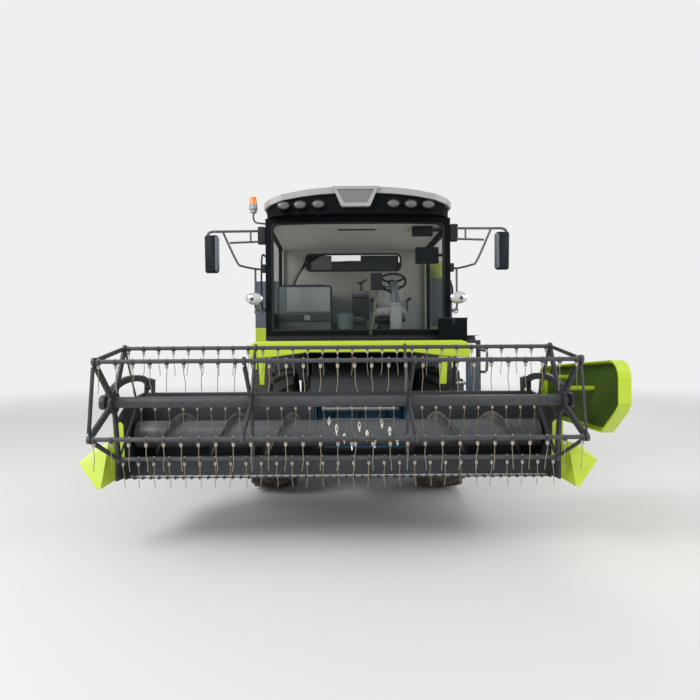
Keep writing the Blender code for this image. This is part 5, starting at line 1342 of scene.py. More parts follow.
    def mouth(self) -> None:
        """Line the feeder's mouth in blue, with a darker blue back of painted shade, and put its slats and
        chains inside.
        """
        sheet = self.back
        low, high, half = 0.80, 1.285, 0.50
        outer = rounded(half - 0.001, (high - low) / 2 - 0.001, 0.012, 3)
        inner = rounded(half - 0.012, (high - low) / 2 - 0.010, 0.012, 3)
        lining = ring_plate(outer, inner, Axis.Y, sheet + 0.004, sheet + 0.285)
        show(lining.moved(MACHINE_X, 0, (low + high) / 2), "throat_lining", THROAT, "header")
        # The mouth's back plate in darker blue: painted shade deep in the recess.
        show(block((MACHINE_X - half + 0.02, sheet + 0.30, low + 0.02),
                   (MACHINE_X + half - 0.02, sheet + 0.335, high - 0.02), 0.006),
             "throat_back", THROAT_SHADE, "header")
        slats = [block((MACHINE_X - 0.44, sheet + 0.16 + 0.02 * k, z),
                       (MACHINE_X + 0.44, sheet + 0.18 + 0.02 * k, z + 0.05), 0.006)
                 for k, z in enumerate((1.17, 1.04, 0.91))]
        show(slats, "feeder_slats", STEEL, "header")
        links = []
        for x in (MACHINE_X - 0.30, MACHINE_X, MACHINE_X + 0.30):
            row = np.array([[x, sheet + 0.205, 0.88 + 0.040 * link] for link in range(9)])
            links.append(block((-0.016, -0.012, -0.017), (0.016, 0.012, 0.017), 0.006).copies(row))
        show(links, "feeder_chains", CAST_BLACK, "header")

    def side_sheets(self) -> None:
        """Make the flanges, hubs, lips and bolts on both end sheets, and a plate of painted shade inside the
        cover.
        """
        forms, bolts = [], []
        front, back = REEL_Y + 0.336, self.back
        for side in (-1, 1):
            x = side * (self.end + 0.016)
            edge = curve([(x, front + 0.02, 0.72), (x, front + 0.015, 1.15), (x, front + 0.08, 1.225),
                          (x, front + 0.32, 1.345), (x, back - 0.12, 1.400), (x, back - 0.01, 1.400)], 6)
            forms.append(pipe(edge, 0.010, 8, ACROSS))
            plate = block((x, back - 0.24, 0.90), (x + side * 0.006, back - 0.05, 1.12), 0.003)
            hub = turned([(0.075, 0.0), (0.075, side * 0.016), (0.060, side * 0.022), (0.030, side * 0.024),
                          (0.028, side * 0.045)], Axis.X, (x, *self.auger[1:]), 32)
            forms += [plate, hub]
            bolts.append(bolt(0.008, 0.008, Axis.X, side).copies(
                ring_places(6, 0.058, Axis.X, (x + side * 0.016, *self.auger[1:]), 0.4)))
        show(forms, "end_sheet_flanges", CHARCOAL, "header")
        lips = [prism([(side * 1.976, 0.87), (side * 2.049, 0.87), (side * 2.049, 1.175),
                       (side * 2.015, 1.20), (side * 1.985, 1.17)], Axis.Y, front - 0.012, front - 0.001)
                for side in (-1, 1)]
        show(lips, "end_sheet_lips", LIME, "header", bevel=0.002)
        # A deep green plate inside the reel drive cover: painted shade for its inner face, which lies in
        # shade.
        outline = [(-0.13, 1.17), (1.07, 1.17), (1.175, 1.30), (1.175, 1.53), (1.07, 1.645), (-0.26, 1.735),
                   (-0.385, 1.62), (-0.385, 1.42), (-0.35, 1.36)]
        show(prism([(REEL_Y + v, z) for v, z in outline], Axis.X, 2.284, 2.2872),
             "cover_lining", COVER_PAINTED_SHADE, "header")
        show(bolts, "end_sheet_bolts", ZINC, "header")


# Cab


def ring_plate(outer: np.ndarray, inner: np.ndarray, axis: Axis, low: float, high: float) -> Form:
    """Make a flat plate with a hole, from two outlines with equal counts."""
    return skin(np.stack([laid(outer, low, axis), laid(outer, high, axis),
                          laid(inner, high, axis), laid(inner, low, axis)]), closed=True)


def spaced(loop: np.ndarray, count: int) -> np.ndarray:
    """Space points evenly round a closed outline: each lies at an equal share of its length.

    Args:
        loop: the outline's corners.
        count: how many points.

    Returns:
        The points, one row each.
    """
    ends = np.concatenate([loop, loop[:1]])
    length = np.concatenate([[0.0], np.cumsum(np.linalg.norm(np.diff(ends, axis=0), axis=1))])
    at = np.linspace(0, length[-1], count, endpoint=False)
    return np.stack([np.interp(at, length, ends[:, 0]), np.interp(at, length, ends[:, 1])], axis=-1)


def cushion(half_x: float, half_y: float, height: float, crown: float, rows: int = 30,
            channels: int = 3) -> Form:
    """Make a crowned cushion with sewn channels, lying flat at z = 0.

    On a grid of shares (u, v) from -1 to 1 the sides follow a rounded square whose half
    widths pull in between the corners; the top stands at height + crown * (1 - u^4)(1 - v^4),
    drawn down along each channel's line of constant u by a narrow bell, and the rim rolls
    over on a quarter circle.

    Args:
        half_x: half its width.
        half_y: half its depth.
        height: height of the rim's top.
        crown: rise of the middle over the rim.
        rows: rows of the grid each way.
        channels: sewn lines across its width.

    Returns:
        The closed cushion.
    """
    angle = 2 * np.pi * np.arange(rows * 4) / (rows * 4)
    square = np.maximum(np.abs(np.cos(angle)), np.abs(np.sin(angle)))
    bulge = 1 / (square ** 0.86)
    pull = 1 - 0.018 * np.cos(4 * angle + math.pi) ** 2
    edge = np.stack([np.cos(angle) * bulge * pull, np.sin(angle) * bulge * pull], axis=-1)
    roll = np.radians(np.linspace(-90, 90, 9))
    radius = height / 2
    rings = []
    for t in roll:
        draw = radius * (1 - math.cos(t))
        size = np.array([half_x - draw, half_y - draw])
        rings.append(np.concatenate([edge * size, np.full((len(edge), 1), radius + radius * math.sin(t))],
                                    axis=1))
    for share in np.linspace(0.96, 0.02, 16):
        size = np.array([half_x - radius, half_y - radius]) * share
        flat = edge * size
        u, v = flat[:, 0] / half_x, flat[:, 1] / half_y
        rise = crown * (1 - np.abs(u) ** 3) * (1 - np.abs(v) ** 3) * (1 - share ** 6)
        lines = (np.arange(channels) + 1) / (channels + 1) * 2 - 1
        seam = np.exp(-((u[:, None] - lines) / 0.045) ** 2).sum(axis=1) * crown * 0.45 * (1 - share ** 8)
        rings.append(np.concatenate([flat, (height + rise - seam)[:, None]], axis=1))
    return skin(np.stack(rings))


@dataclass
class Cab:
    """The cab's visible parts: black band, seals, linings, seats, controls, wipers and handles."""

    half: float = 1.10
    front: float = -1.80
    bow: float = 0.10
    floor: float = 2.02
    low: float = 2.08
    high: float = 3.35
    seat_x: float = 0.44

    def build(self) -> None:
        """Make everything from the windshield back."""
        self.windshield_band()
        self.linings()
        self.rear_window()
        self.console()
        self.second_seat()
        self.driver_seat()
        self.steering()
        self.monitors()
        self.wiper()
        self.outside()

    def bowed(self, loop: np.ndarray, inset: float) -> np.ndarray:
        """Lay an outline of (x from the middle, z) on the bowed front: y grows with x squared."""
        y = self.front + inset + self.bow * (loop[:, 0] / self.half) ** 2
        return np.stack([loop[:, 0], y, loop[:, 1]], axis=-1)

    def windshield_band(self) -> None:
        """Make the black band round the windshield's edge and the rubber seal outside it."""
        middle = (self.low + self.high) / 2
        tall = (self.high - self.low) / 2
        outer = spaced(rounded(1.022, tall - 0.003, 0.02, 6), 200) + [0, middle]
        inner = spaced(rounded(1.000, tall - 0.016, 0.06, 10), 200) + [0, middle]
        rings = [self.bowed(outer, 0.0075), self.bowed(inner, 0.0075), self.bowed(inner, 0.0110),
                 self.bowed(outer, 0.0110)]
        fit(skin(np.stack(rings), closed=True), "windshield_band", SHADOW)
        path = self.bowed(spaced(rounded(1.020, tall - 0.004, 0.02, 6), 200) + [0, middle], 0.004)
        fit(pipe(path, 0.007, 8, ALONG, closed=True), "windshield_seal", SATIN)

    def linings(self) -> None:
        """Line the ceiling, the back wall and the posts in beige, with the ceiling's vent slot."""
        fit(block((-1.035, -1.62, 3.325), (1.035, -0.236, 3.356), 0.012), "headliner", CEILING)
        fit(prism([(-1.70, 3.352), (-1.615, 3.352), (-1.615, 3.326), (-1.695, 3.340)], Axis.X, -0.99, 0.99),
            "headliner_front", CEILING, bevel=0.003)
        fit(block((-0.235, -1.56, 3.318), (0.225, -1.50, 3.327), 0.004), "ceiling_vent", SHADOW)
        fit([block((-0.22, -1.55 + 0.016 * k, 3.315), (0.21, -1.545 + 0.016 * k, 3.3185), 0.001)
             for k in range(3)], "vent_fins", DARK_GREY)
        wide, low, high = 1.035, 2.03, 3.325
        outer = spaced(rounded(wide, (high - low) / 2, 0.02, 8), 200) + [0, (high + low) / 2]
        inner = spaced(rounded(0.70, 0.128, 0.07, 8), 200) + [-0.01, 3.135]
        fit(ring_plate(outer, inner, Axis.Y, -0.262, -0.232), "back_lining", LINING)
        fit(block((-1.03, -0.272, 2.04), (1.03, -0.258, 2.80), 0.006), "back_lining_low", LOW_LINING)
        posts = []
        for side in (-1, 1):
            x = side * 1.035
            posts.append(block((x - 0.012, -1.66, 2.03), (x + 0.012, -1.635, 3.32), 0.006))
            posts.append(block((x - 0.012, -0.33, 2.03), (x + 0.012, -0.262, 3.32), 0.006))
        fit(posts, "post_linings", LINING)
        fit(block((-1.02, -1.66, self.floor + 0.001), (1.02, -0.27, self.floor + 0.012), 0.004),
            "floor_mat", DARK_GREY)

    def rear_window(self) -> None:
        """Frame the rear window in rubber, with dark plates of painted shade behind its ends."""
        outer = spaced(rounded(0.705, 0.133, 0.075, 8), 160) + [-0.01, 3.135]
        inner = spaced(rounded(0.680, 0.108, 0.055, 8), 160) + [-0.01, 3.135]
        fit(ring_plate(outer, inner, Axis.Y, -0.270, -0.255), "rear_window_seal", SHADOW)
        fit(block((-0.63, -0.199, 3.02), (-0.33, -0.188, 3.25), 0.004), "rear_blind", PANEL_GREY)
        # Dark grey plates just behind the glass: painted shade for the unlit space seen through the rear
        # window.
        plates = [block((-0.70, -0.199, 3.02), (-0.635, -0.186, 3.25), 0.003),
                  block((0.10, -0.199, 3.02), (0.66, -0.186, 3.25), 0.003),
                  block((-0.325, -0.199, 3.02), (0.095, -0.186, 3.165), 0.003)]
        fit(plates, "rear_guard", DARK_GREY)

    def console(self) -> None:
        """Make the side cabinet: body, lighter front panel, dark band, switch and thin frame."""
        x0, x1 = -1.03, -0.32
        fit(block((x0, -1.048, 2.032), (x1, -0.352, 2.71), 0.03),
            "cabinet", CABINET, replaces=("side_console",))
        fit(block((x0 + 0.12, -1.060, 2.355), (x1 - 0.022, -1.044, 2.680), 0.008, Axis.Y),
            "cabinet_panel", PANEL_GREY)
        fit(block((x0 + 0.02, -1.058, 2.225), (x1 - 0.03, -1.044, 2.335), 0.006, Axis.Y),
            "cabinet_band", BAND)
        fit(block((-0.685, -1.064, 2.245), (-0.605, -1.056, 2.315), 0.006, Axis.Y), "cabinet_switch", WHITE)
        loop = spaced(rounded(0.352, 0.335, 0.04, 8), 120) + [(x0 + x1) / 2, 2.365]
        fit(pipe(laid(loop, -1.052, Axis.Y), 0.006, 8, ALONG, closed=True), "cabinet_frame", SHADOW)
        fit([block((-0.95, -0.95, 2.705), (-0.42, -0.45, 2.73), 0.012),
             block((-0.36, -0.60, 2.70), (-0.33, -0.50, 2.76), 0.01)], "cabinet_top", DARK_GREY)
        fit(turned([(0.094, 2.034), (0.107, 2.29), (0.113, 2.33), (0.104, 2.332), (0.094, 2.30)],
                   Axis.Z, (-0.145, -1.05, 0.0), 40), "waste_bin", CABINET)

    def second_seat(self) -> None:
        """Make the folding second seat: a dark cushion and back, a light top and a joystick arm."""
        base = cushion(0.205, 0.20, 0.10, 0.02).moved(-0.04, -0.57, 2.20)
        fit(base, "second_seat_pad", SEAT_DARK)
        back = cushion(0.122, 0.185, 0.075, 0.02, channels=1).turned(Axis.X, 84)
        fit(back.moved(0.085, -0.40, 2.44), "second_seat_back", SEAT_DARK)
        fit(block((-0.036, -0.505, 2.600), (0.206, -0.355, 2.634), 0.014), "second_seat_band", SLATE)
        fit(block((-0.030, -0.500, 2.630), (0.200, -0.360, 2.700), 0.034), "second_seat_top", PANEL_GREY)
        fit(block((-0.24, -0.76, 2.034), (0.16, -0.38, 2.20), 0.02), "second_seat_base", DARK_GREY)
        foot = turned([(0.004, 2.716), (0.034, 2.712), (0.042, 2.700), (0.042, 2.692), (0.004, 2.690)],
                      Axis.Z, (0.10, -0.44, 0.0), 24)
        stem = pipe(curve([(0.10, -0.44, 2.70), (0.095, -0.47, 2.75), (0.095, -0.50, 2.80)], 6), 0.016, 10)
        grip = pipe(curve([(0.045, -0.51, 2.800), (0.095, -0.51, 2.805), (0.17, -0.50, 2.85)], 6), 0.017,
                    12)
        fit([foot, stem, grip], "control_lever", DARK_GREY)

    def driver_seat(self) -> None:
        """Make the driver's seat: cushion, back and arm rests on a sprung base."""
        x, y, z = self.seat_x, -0.85, self.floor
        pad = cushion(0.215, 0.245, 0.115, 0.022).turned(Axis.X, -3).moved(x + 0.02, y - 0.005, z + 0.26)
        fit(pad, "seat_pad", SEAT_CLOTH, replaces=("driver_seat",))
        back = cushion(0.195, 0.26, 0.10, 0.022).turned(Axis.X, 81).moved(x + 0.04, y + 0.255, z + 0.55)
        fit(back, "seat_back", SEAT_CLOTH)
        base = [block((x - 0.17, y - 0.17, z + 0.012), (x + 0.17, y + 0.17, z + 0.05), 0.012),
                block((x - 0.14, y - 0.14, z + 0.05), (x + 0.14, y + 0.14, z + 0.20), 0.03),
                block((x - 0.17, y - 0.20, z + 0.20), (x + 0.21, y + 0.20, z + 0.258), 0.02)]
        fit(base, "seat_base", SATIN)
        arms = []
        for side in (-1, 1):
            near, far = sorted((x + 0.03 + side * 0.222, x + 0.03 + side * 0.268))
            arms.append(block((near, y - 0.16, z + 0.490), (far, y + 0.16, z + 0.530), 0.016))
            arms.append(block((near + 0.006, y + 0.12, z + 0.36), (far - 0.006, y + 0.17, z + 0.51), 0.012))
        fit(arms, "seat_arms", DARK_GREY)

    def steering(self) -> None:
        """Make the steering column in two colours and its wheel with three spokes."""
        x, y, z = self.seat_x, self.front + 0.48, self.floor + 0.685
        foot_x = x + 0.035
        lower = curve([(foot_x, y - 0.17, self.floor + 0.012), (foot_x, y - 0.165, 2.20),
                       (foot_x, y - 0.13, 2.42)], 6)
        fit(swept(lower, rounded(0.060, 0.073, 0.05, 6), ACROSS),
            "column_lower", PANEL_GREY, replaces=("steering_column",))
        collars = []
        for low, high, wide in ((2.395, 2.430, 0.068), (2.120, 2.132, 0.065), (2.034, 2.072, 0.070)):
            lean = 0.159 * max(0.0, low - 2.20)
            path = np.array([(foot_x, y - 0.166 + lean, low), (foot_x, y - 0.166 + lean, high)])
            collars.append(swept(path, rounded(wide, wide + 0.013, 0.055, 6), ACROSS))
        fit(collars, "column_collars", PANEL_GREY)
        upper = curve([(foot_x, y - 0.13, 2.41), (x + 0.03, y - 0.09, 2.56),
                       (x + 0.012, y - 0.02, z - 0.015)], 6)
        fit(swept(upper, rounded(0.050, 0.048, 0.035, 6), ACROSS), "column_upper", SLATE)
        ring = laid(circle(0.176, 64), 0.0, Axis.Z)
        parts = [pipe(ring, 0.0145, 12, closed=True),
                 turned([(0.010, -0.03), (0.045, -0.025), (0.050, 0.0), (0.040, 0.014), (0.006, 0.018)],
                        Axis.Z, ORIGIN, 28)]
        for degrees in (90, 210, 330):
            spoke = swept(curve([(0.03, 0, -0.004), (0.10, 0, -0.014), (0.172, 0, 0.0)], 6),
                          rounded(0.016, 0.006, 0.005, 3))
            parts.append(spoke.turned(Axis.Z, degrees))
        fit(together(parts).turned(Axis.X, -28).moved(x, y, z), "steering_wheel", SATIN)
        stalks = [pipe([(x, y - 0.03, z - 0.07), (x + side * 0.12, y - 0.02, z - 0.05),
                        (x + side * 0.17, y - 0.02, z - 0.04)], 0.007, 8) for side in (-1, 1)]
        fit(stalks, "column_stalks", SHADOW)

    def monitors(self) -> None:
        """Make the upright monitor beside the wheel and the screens on the left post's boxes."""
        case = block((0.165, -1.52, 2.585), (0.30, -1.475, 2.80), 0.012)
        arm = pipe(curve([(0.29, -1.48, 2.66), (0.36, -1.44, 2.60), (0.42, -1.42, 2.56)], 5), 0.012, 10)
        fit(case + arm, "monitor", SHADOW)
        glass = [block((0.175, -1.476, 2.60), (0.29, -1.471, 2.785), 0.003, Axis.Y),
                 block((0.68, -1.590, 3.235), (0.88, -1.586, 3.335), 0.002, Axis.Y),
                 block((0.72, -1.590, 2.905), (0.95, -1.586, 3.065), 0.002, Axis.Y)]
        fit(glass, "screens", SCREEN)

    def wiper(self) -> None:
        """Make the windshield wiper: spindle, arm and blade standing on the glass."""
        spindle = turned([(0.026, -1.815), (0.030, -1.810), (0.030, -1.795), (0.024, -1.788)], Axis.Y,
                         (0.14, 0.0, 2.045), 24)
        # The arm's olive tint is a painted yellow-green highlight on a dark arm.
        fit(swept(curve([(0.14, -1.812, 2.045), (0.165, -1.822, 2.20), (0.205, -1.812, 2.46)], 8),
                  rounded(0.005, 0.008, 0.004, 3), ALONG), "wiper_arm", WIPER_OLIVE_HIGHLIGHT)
        fit(spindle, "wiper_spindle", SATIN)
        fit(swept(curve([(0.155, -1.802, 2.12), (0.185, -1.800, 2.34), (0.225, -1.799, 2.58)], 8),
                  rounded(0.004, 0.007, 0.003, 3), ALONG), "wiper_blade", SHADOW)

    def outside(self) -> None:
        """Make the door's seal, handle and hinges, the side window's seal and the right side's rail."""
        x = self.half
        seal = spaced(rounded(0.624, 0.604, 0.05, 6), 140) + [-0.94, 2.686]
        fit(pipe(laid(seal, x - 0.004, Axis.X), 0.009, 8, ACROSS, closed=True),
            "door_seal", SATIN, "cab_door")
        fit(pipe(curve([(x - 0.004, -1.585, 2.42), (x + 0.045, -1.585, 2.45), (x + 0.045, -1.585, 2.62),
                        (x - 0.004, -1.585, 2.65)], 6), 0.010, 10, ALONG),
            "door_handle", SATIN, "cab_door")
        fit([turned([(0.009, z - 0.05), (0.011, z - 0.045), (0.011, z + 0.045), (0.009, z + 0.05)], Axis.Z,
                    (x + 0.002, -0.2535, 0.0), 20) for z in (2.20, 3.12)], "door_hinges", SATIN)
        side = spaced(rounded(0.680, 0.506, 0.05, 6), 140) + [-0.94, 2.84]
        fit(pipe(laid(side, -self.half + 0.004, Axis.X), 0.009, 8, ACROSS, closed=True), "side_seal", SATIN)
        rail = pipe(curve([(-self.half - 0.002, -1.66, 2.35), (-self.half - 0.05, -1.66, 2.38),
                           (-self.half - 0.05, -1.66, 2.95), (-self.half - 0.002, -1.66, 2.98)], 6),
                    0.011, 10, ALONG)
        fit(rail, "cab_rail", SATIN)


@dataclass
class Roof:
    """The roof's front: lamp faces, the bare trapezoid panel, and small parts on top."""

    lamp_x: tuple[float, ...] = (-0.86, -0.67, -0.46, 0.40, 0.60, 0.80)
    lamp_y: float = -1.94
    lamp_z: float = 3.53

    def build(self) -> None:
        """Make the lamps, the panel and the roof's knobs."""
        lenses, rims = [], []
        for x in self.lamp_x:
            z = self.lamp_z - 0.027 * x * x
            lens = turned([(1.0, 0.004), (0.98, -0.006), (0.70, -0.014), (0.30, -0.017), (0.02, -0.018)],
                          Axis.Y, ORIGIN, 40)
            lenses.append(lens.scaled(0.064, 1.0, 0.040).moved(x, self.lamp_y - 0.001, z))
            rim = ring_plate(circle(1.0, 48) * [0.076, 0.050], circle(1.0, 48) * [0.064, 0.040], Axis.Y,
                             -0.012, 0.004)
            rims.append(rim.moved(x, self.lamp_y, z))
        fit(lenses, "roof_lamps", LAMP_GREY)
        fit(rims, "roof_lamp_rims", SATIN, bevel=0.002)
        self.panel()
        self.top()

    def panel(self) -> None:
        """Make the white-framed trapezoid with its grey mesh, bare of any mark."""
        middle = -0.033
        outer = spaced(np.array([(-0.262, 3.716), (-0.168, 3.496), (-0.150, 3.486), (0.150, 3.486),
                                 (0.168, 3.496), (0.262, 3.716)], float), 160)
        centre = np.array([0.0, 3.606])
        inner = (outer - centre) * [0.80, 0.66] + centre
        edge = ring_plate(outer, inner, Axis.Y, -1.984, -1.93)
        fit(edge.moved(middle), "roof_panel_frame", WHITE, bevel=0.004, smooth=30)
        mesh = skin(np.stack([laid(inner, -1.974, Axis.Y), laid(inner, -1.935, Axis.Y)]))
        fit(mesh.moved(middle), "roof_panel_mesh", MESH)

    def top(self) -> None:
        """Put small knobs and a hatch on the roof."""
        knobs = [turned([(0.020, 0.0), (0.018, 0.016), (0.008, 0.024), (0.002, 0.026)], Axis.Z, (x, y, z), 20)
                 for x, y, z in ((-0.88, -1.70, 3.650), (0.88, -1.70, 3.650), (-0.5, -0.6, 3.690))]
        fit(knobs, "roof_knobs", DARK_GREY)
        fit(block((-0.30, -1.15, 3.700), (0.30, -0.60, 3.719), 0.012), "roof_hatch", WHITE)


@dataclass
class Outriggers:
    """The mirrors on their pipes, the work lamps below them and the beacon."""

    y: float = -1.67
    out_y: float = -1.96
    low: float = 2.825
    lamp_z: float = 2.46
    radius: float = 0.0125

    def build(self) -> None:
        """Make both sides and the beacon."""
        self.mirror(-1, "R", -1.680, 2.955, 0.125)
        self.mirror(1, "L", 1.640, 2.975, 0.080)
        self.beacon()

    def mirror(self, side: int, letter: str, head_x: float, head_z: float, lamp_out: float) -> None:
        """Make one side's bracket, pipes, mirror head and work lamp.

        Args:
            side: 1 on the left, -1 on the right.
            letter: L or R.
            head_x: the mirror head's place across.
            head_z: its middle's height.
            lamp_out: the work lamp's distance from the post.
        """
        post = side * 1.1003
        lamp_x = post + side * lamp_out
        y, out, low = self.y, self.out_y, self.low
        top, middle = head_z + 0.325, head_z + 0.20
        far_top, far_middle = top - 0.07, middle - 0.07
        runs = [
            # share of the pipe's radius, whether it bends, knots
            (1.15, True, [(post + side * 0.03, y, top), (head_x - side * 0.12, out, far_top),
                          (head_x, out, far_top - 0.004), (head_x + side * 0.045, out, far_top - 0.05),
                          (head_x + side * 0.052, out, head_z + 0.05)]),
            (1.0, False, [(post + side * 0.03, y, middle), (head_x - side * 0.21, out + 0.02, far_middle)]),
            (1.0, True, [(head_x - side * 0.13, out, far_top),
                         (head_x - side * 0.28, out + 0.05, low + 0.05),
                         (head_x - side * 0.34, out + 0.09, low + 0.004), (post + side * 0.10, y, low),
                         (post + side * 0.01, y, low)]),
            (0.9, False, [(post + side * 0.16, y - 0.115, top - 0.03),
                          (post + side * 0.16, y - 0.115, middle - 0.03)]),
            (1.0, True, [(lamp_x, y, low + 0.008), (lamp_x, y, 2.60), (lamp_x, y, 2.36),
                         (post + side * 0.05, y, 2.315), (post + side * 0.01, y, 2.33)]),
        ]
        pipes = [pipe(curve(knots, 8) if bent else knots, self.radius * share, 12, ALONG)
                 for share, bent, knots in runs]
        fit(pipes, f"mirror_pipes_{letter}", PIPE_GREY, replaces=(f"mirror_{letter}",))
        near, behind = post + side * 0.001, y + 0.028
        brackets = [
            block((near, y - 0.045, middle - 0.035), (post + side * 0.09, behind, top + 0.045), 0.012),
            block((near, y - 0.035, low - 0.045), (post + side * 0.045, behind, low + 0.055), 0.010),
            turned([(0.020, head_z + 0.02), (0.020, head_z + 0.08)], Axis.Z,
                   (head_x + side * 0.052, out + 0.004, 0), 16),
        ]
        fit(brackets, f"mirror_brackets_{letter}", SATIN)
        self.head(side, letter, head_x, head_z)
        self.lamp(lamp_x, side, letter)

    def head(self, side: int, letter: str, x: float, z: float) -> None:
        """Make one mirror's head: a shell that bows and narrows downwards, its rim and its glass.

        Args:
            side: 1 on the left, -1 on the right.
            letter: L or R.
            x: the head's place across.
            z: its middle's height.
        """
        shell = block((-0.078, -0.030, -0.215), (0.082, 0.058, 0.215), 0.028, Axis.Z, 6)
        shell.points[:, 1] += 0.035 * (shell.points[:, 0] / 0.08) ** 2 - 0.012
        shell.points[:, 0] *= 1 - 0.09 * np.clip(-shell.points[:, 2] / 0.215, 0, 1)
        rim = block((-0.084, -0.036, -0.200), (-0.046, 0.050, 0.198), 0.016, Axis.Z, 6)
        glass = block((-0.062, 0.062, -0.185), (0.066, 0.070, 0.185), 0.003, Axis.Y)
        for form, part, finish in ((shell, "head", MIRROR_SHELL), (rim, "rim", MIRROR_RIM),
                                   (glass, "glass", MIRROR)):
            fit(form.scaled(side).moved(x, self.out_y, z), f"mirror_{part}_{letter}", finish)

    def lamp(self, x: float, side: int, letter: str) -> None:
        """Make an oval work lamp: a bright bowl, a clear face and a bulb inside it.

        Args:
            x: its place across.
            side: 1 on the left, -1 on the right.
            letter: L or R.
        """
        y = self.y - 0.02
        wide, tall = 1.10, 0.78
        bowl = turned([(0.010, 0.045), (0.050, 0.035), (0.082, 0.0), (0.090, -0.05), (0.090, -0.10),
                       (0.084, -0.104), (0.080, -0.09), (0.060, -0.045), (0.020, -0.03)], Axis.Y, ORIGIN,
                      44)
        face = turned([(0.083, -0.095), (0.080, -0.108), (0.055, -0.124), (0.020, -0.131), (0.002, -0.132)],
                      Axis.Y, ORIGIN, 44)
        fit(bowl.scaled(wide, 1, tall).moved(x, y, self.lamp_z), f"work_lamp_{letter}", CHROME)
        fit(face.scaled(wide, 1, tall).moved(x, y, self.lamp_z), f"work_lens_{letter}", LENS)
        fit(turned([(0.022, -0.128), (0.020, -0.138), (0.004, -0.141)],
                   Axis.Y, (x + side * 0.02, y, self.lamp_z - 0.006), 20),
            f"work_bulb_{letter}", DARK_GREY)
        loop = pipe(laid(circle(0.030, 24), 0.0, Axis.Y), 0.006, 8, ALONG, closed=True)
        fit(loop.moved(x - side * 0.02, self.y - 0.01, 2.315), f"lamp_ring_{letter}", PIPE_GREY)

    def beacon(self) -> None:
        """Make the amber beacon over its white base, on a bent rod from the cab's corner."""
        x, y = -1.25, -1.63
        fit(turned([(0.046, 3.606), (0.047, 3.650), (0.044, 3.680), (0.034, 3.695), (0.016, 3.7005),
                    (0.002, 3.7015)], Axis.Z, (x, y, 0), 36), "beacon_dome", AMBER, replaces=("beacon",))
        fit(turned([(0.016, 3.500), (0.038, 3.510), (0.040, 3.535), (0.052, 3.548), (0.052, 3.602),
                    (0.046, 3.607)], Axis.Z, (x, y, 0), 36), "beacon_base", WHITE)
        fit(pipe(curve([(x, y, 3.51), (x, y, 3.44), (x + 0.03, y + 0.01, 3.395), (-1.102, y + 0.02, 3.38)],
                       8), 0.011, 12, ALONG), "beacon_rod", PIPE_GREY)


# Body


@dataclass
class Bumper:
    """The lime bar below the windshield with its lip, skirts, feet and bolts, and the body's front plates."""

    y: float = -2.014
    half: float = 1.25
    top: float = 1.945

    def build(self) -> None:
        """Make the bar with round edges, what it carries, and the plates on the body's front."""
        y = self.y
        edge = [(self.half, 1.905), (self.half - 0.05, self.top), (0.05 - self.half, self.top),
                (-self.half, 1.905), (-self.half, 1.763), (0.25 - self.half, 1.773), (-0.6, 1.825),
                (0.6, 1.825), (self.half - 0.25, 1.773), (self.half, 1.763)]
        fit(prism(edge, Axis.Y, y, y + 0.16),
            "bumper_bar", LIME, replaces=("front_bumper",), bevel=0.010, smooth=30)
        fit(prism([(-1.18, 1.944), (1.18, 1.944), (1.16, 1.957), (-1.16, 1.957)], Axis.Y, y + 0.02, y + 0.15),
            "bumper_lip", LIME, bevel=0.004)
        skirts = []
        for inner, outer in ((-1.07, -1.15), (0.90, 1.0)):
            flat = [(inner, 1.80), (outer, 1.80), (outer * 0.985, 1.46), (inner * 1.01, 1.46)]
            skirts.append(prism(flat, Axis.Y, y + 0.02, y + 0.05))
        fit(skirts, "bumper_skirts", LIME, bevel=0.006)
        feet = [block((s * 0.64, y + 0.15, 1.87), (s * 0.74, y + 0.179, 1.94), 0.004) for s in (-1, 1)]
        feet += [block((s * 0.655, y + 0.15, 1.80), (s * 0.725, y + 0.20, 1.86), 0.008) for s in (-1, 1)]
        fit(feet, "bumper_feet", CHARCOAL)
        places = [(x, y + 0.085, 1.956) for x in (-1.05, -0.35, 0.35, 1.05)]
        fit(bolt(0.010, 0.008, Axis.Z).copies(places), "bumper_bolts", ZINC)
        fit([block((side * 0.745, -0.106, 1.40), (side * 1.455, -0.1005, 1.93), 0.002)
             for side in (-1, 1)], "body_front_plates", CHARCOAL)


@dataclass
class Access:
    """The deck beside the door, its ladder with treads, the hand loop and the tool box's trim."""

    outer: float = 1.42
    front: float = -1.82

    def build(self) -> None:
        """Make the treads, the deck's plate, the loop and the box's lid."""
        y = self.front
        treads = []
        for z in (0.90, 1.17, 1.44, 1.71):
            treads.append(block((1.125, y - 0.004, z + 0.004),
                                (self.outer - 0.01, y + 0.16, z + 0.030), 0.006))
            ribs = np.array([[1.14 + 0.03 * k, 0, 0] for k in range(9)])
            rib = block((0, y + 0.005, z + 0.028), (0.008, y + 0.15, z + 0.036), 0.003)
            treads.append(rib.copies(ribs))
        fit(treads, "ladder_treads", STEEL)
        plate = block((1.108, y + 0.03, 2.013), (self.outer - 0.006, -0.56, 2.021), 0.003)
        bars = block((0, -0.54, 0), (0.006, 0.54, 0.006), 0.002).copies(
            np.array([[1.13 + 0.032 * k, -1.12, 2.020] for k in range(9)]))
        fit(plate + bars, "deck_grip", STEEL)
        loop = pipe(curve([(1.40, y + 0.03, 1.585), (1.47, y - 0.01, 1.59), (1.49, y - 0.02, 1.64),
                           (1.49, y - 0.02, 1.79), (1.47, y - 0.01, 1.84), (1.40, y + 0.03, 1.85)], 8),
                    0.0135, 12, ALONG)
        fit(loop, "ladder_loop", PIPE_GREY)
        fit(block((1.245, y - 0.012, 1.34), (1.405, y + 0.004, 1.76), 0.005), "ladder_plate", SLATE)
        fit(block((0.938, y - 0.023, 1.948), (1.262, y + 0.082, 2.212), 0.008), "tool_box", BLACK)
        lid = block((0.932, y - 0.028, 2.205), (1.268, y + 0.088, 2.222), 0.006)
        clasp = block((1.08, y - 0.032, 2.15), (1.12, y - 0.018, 2.215), 0.004)
        fit(lid + clasp, "tool_box_lid", SATIN)


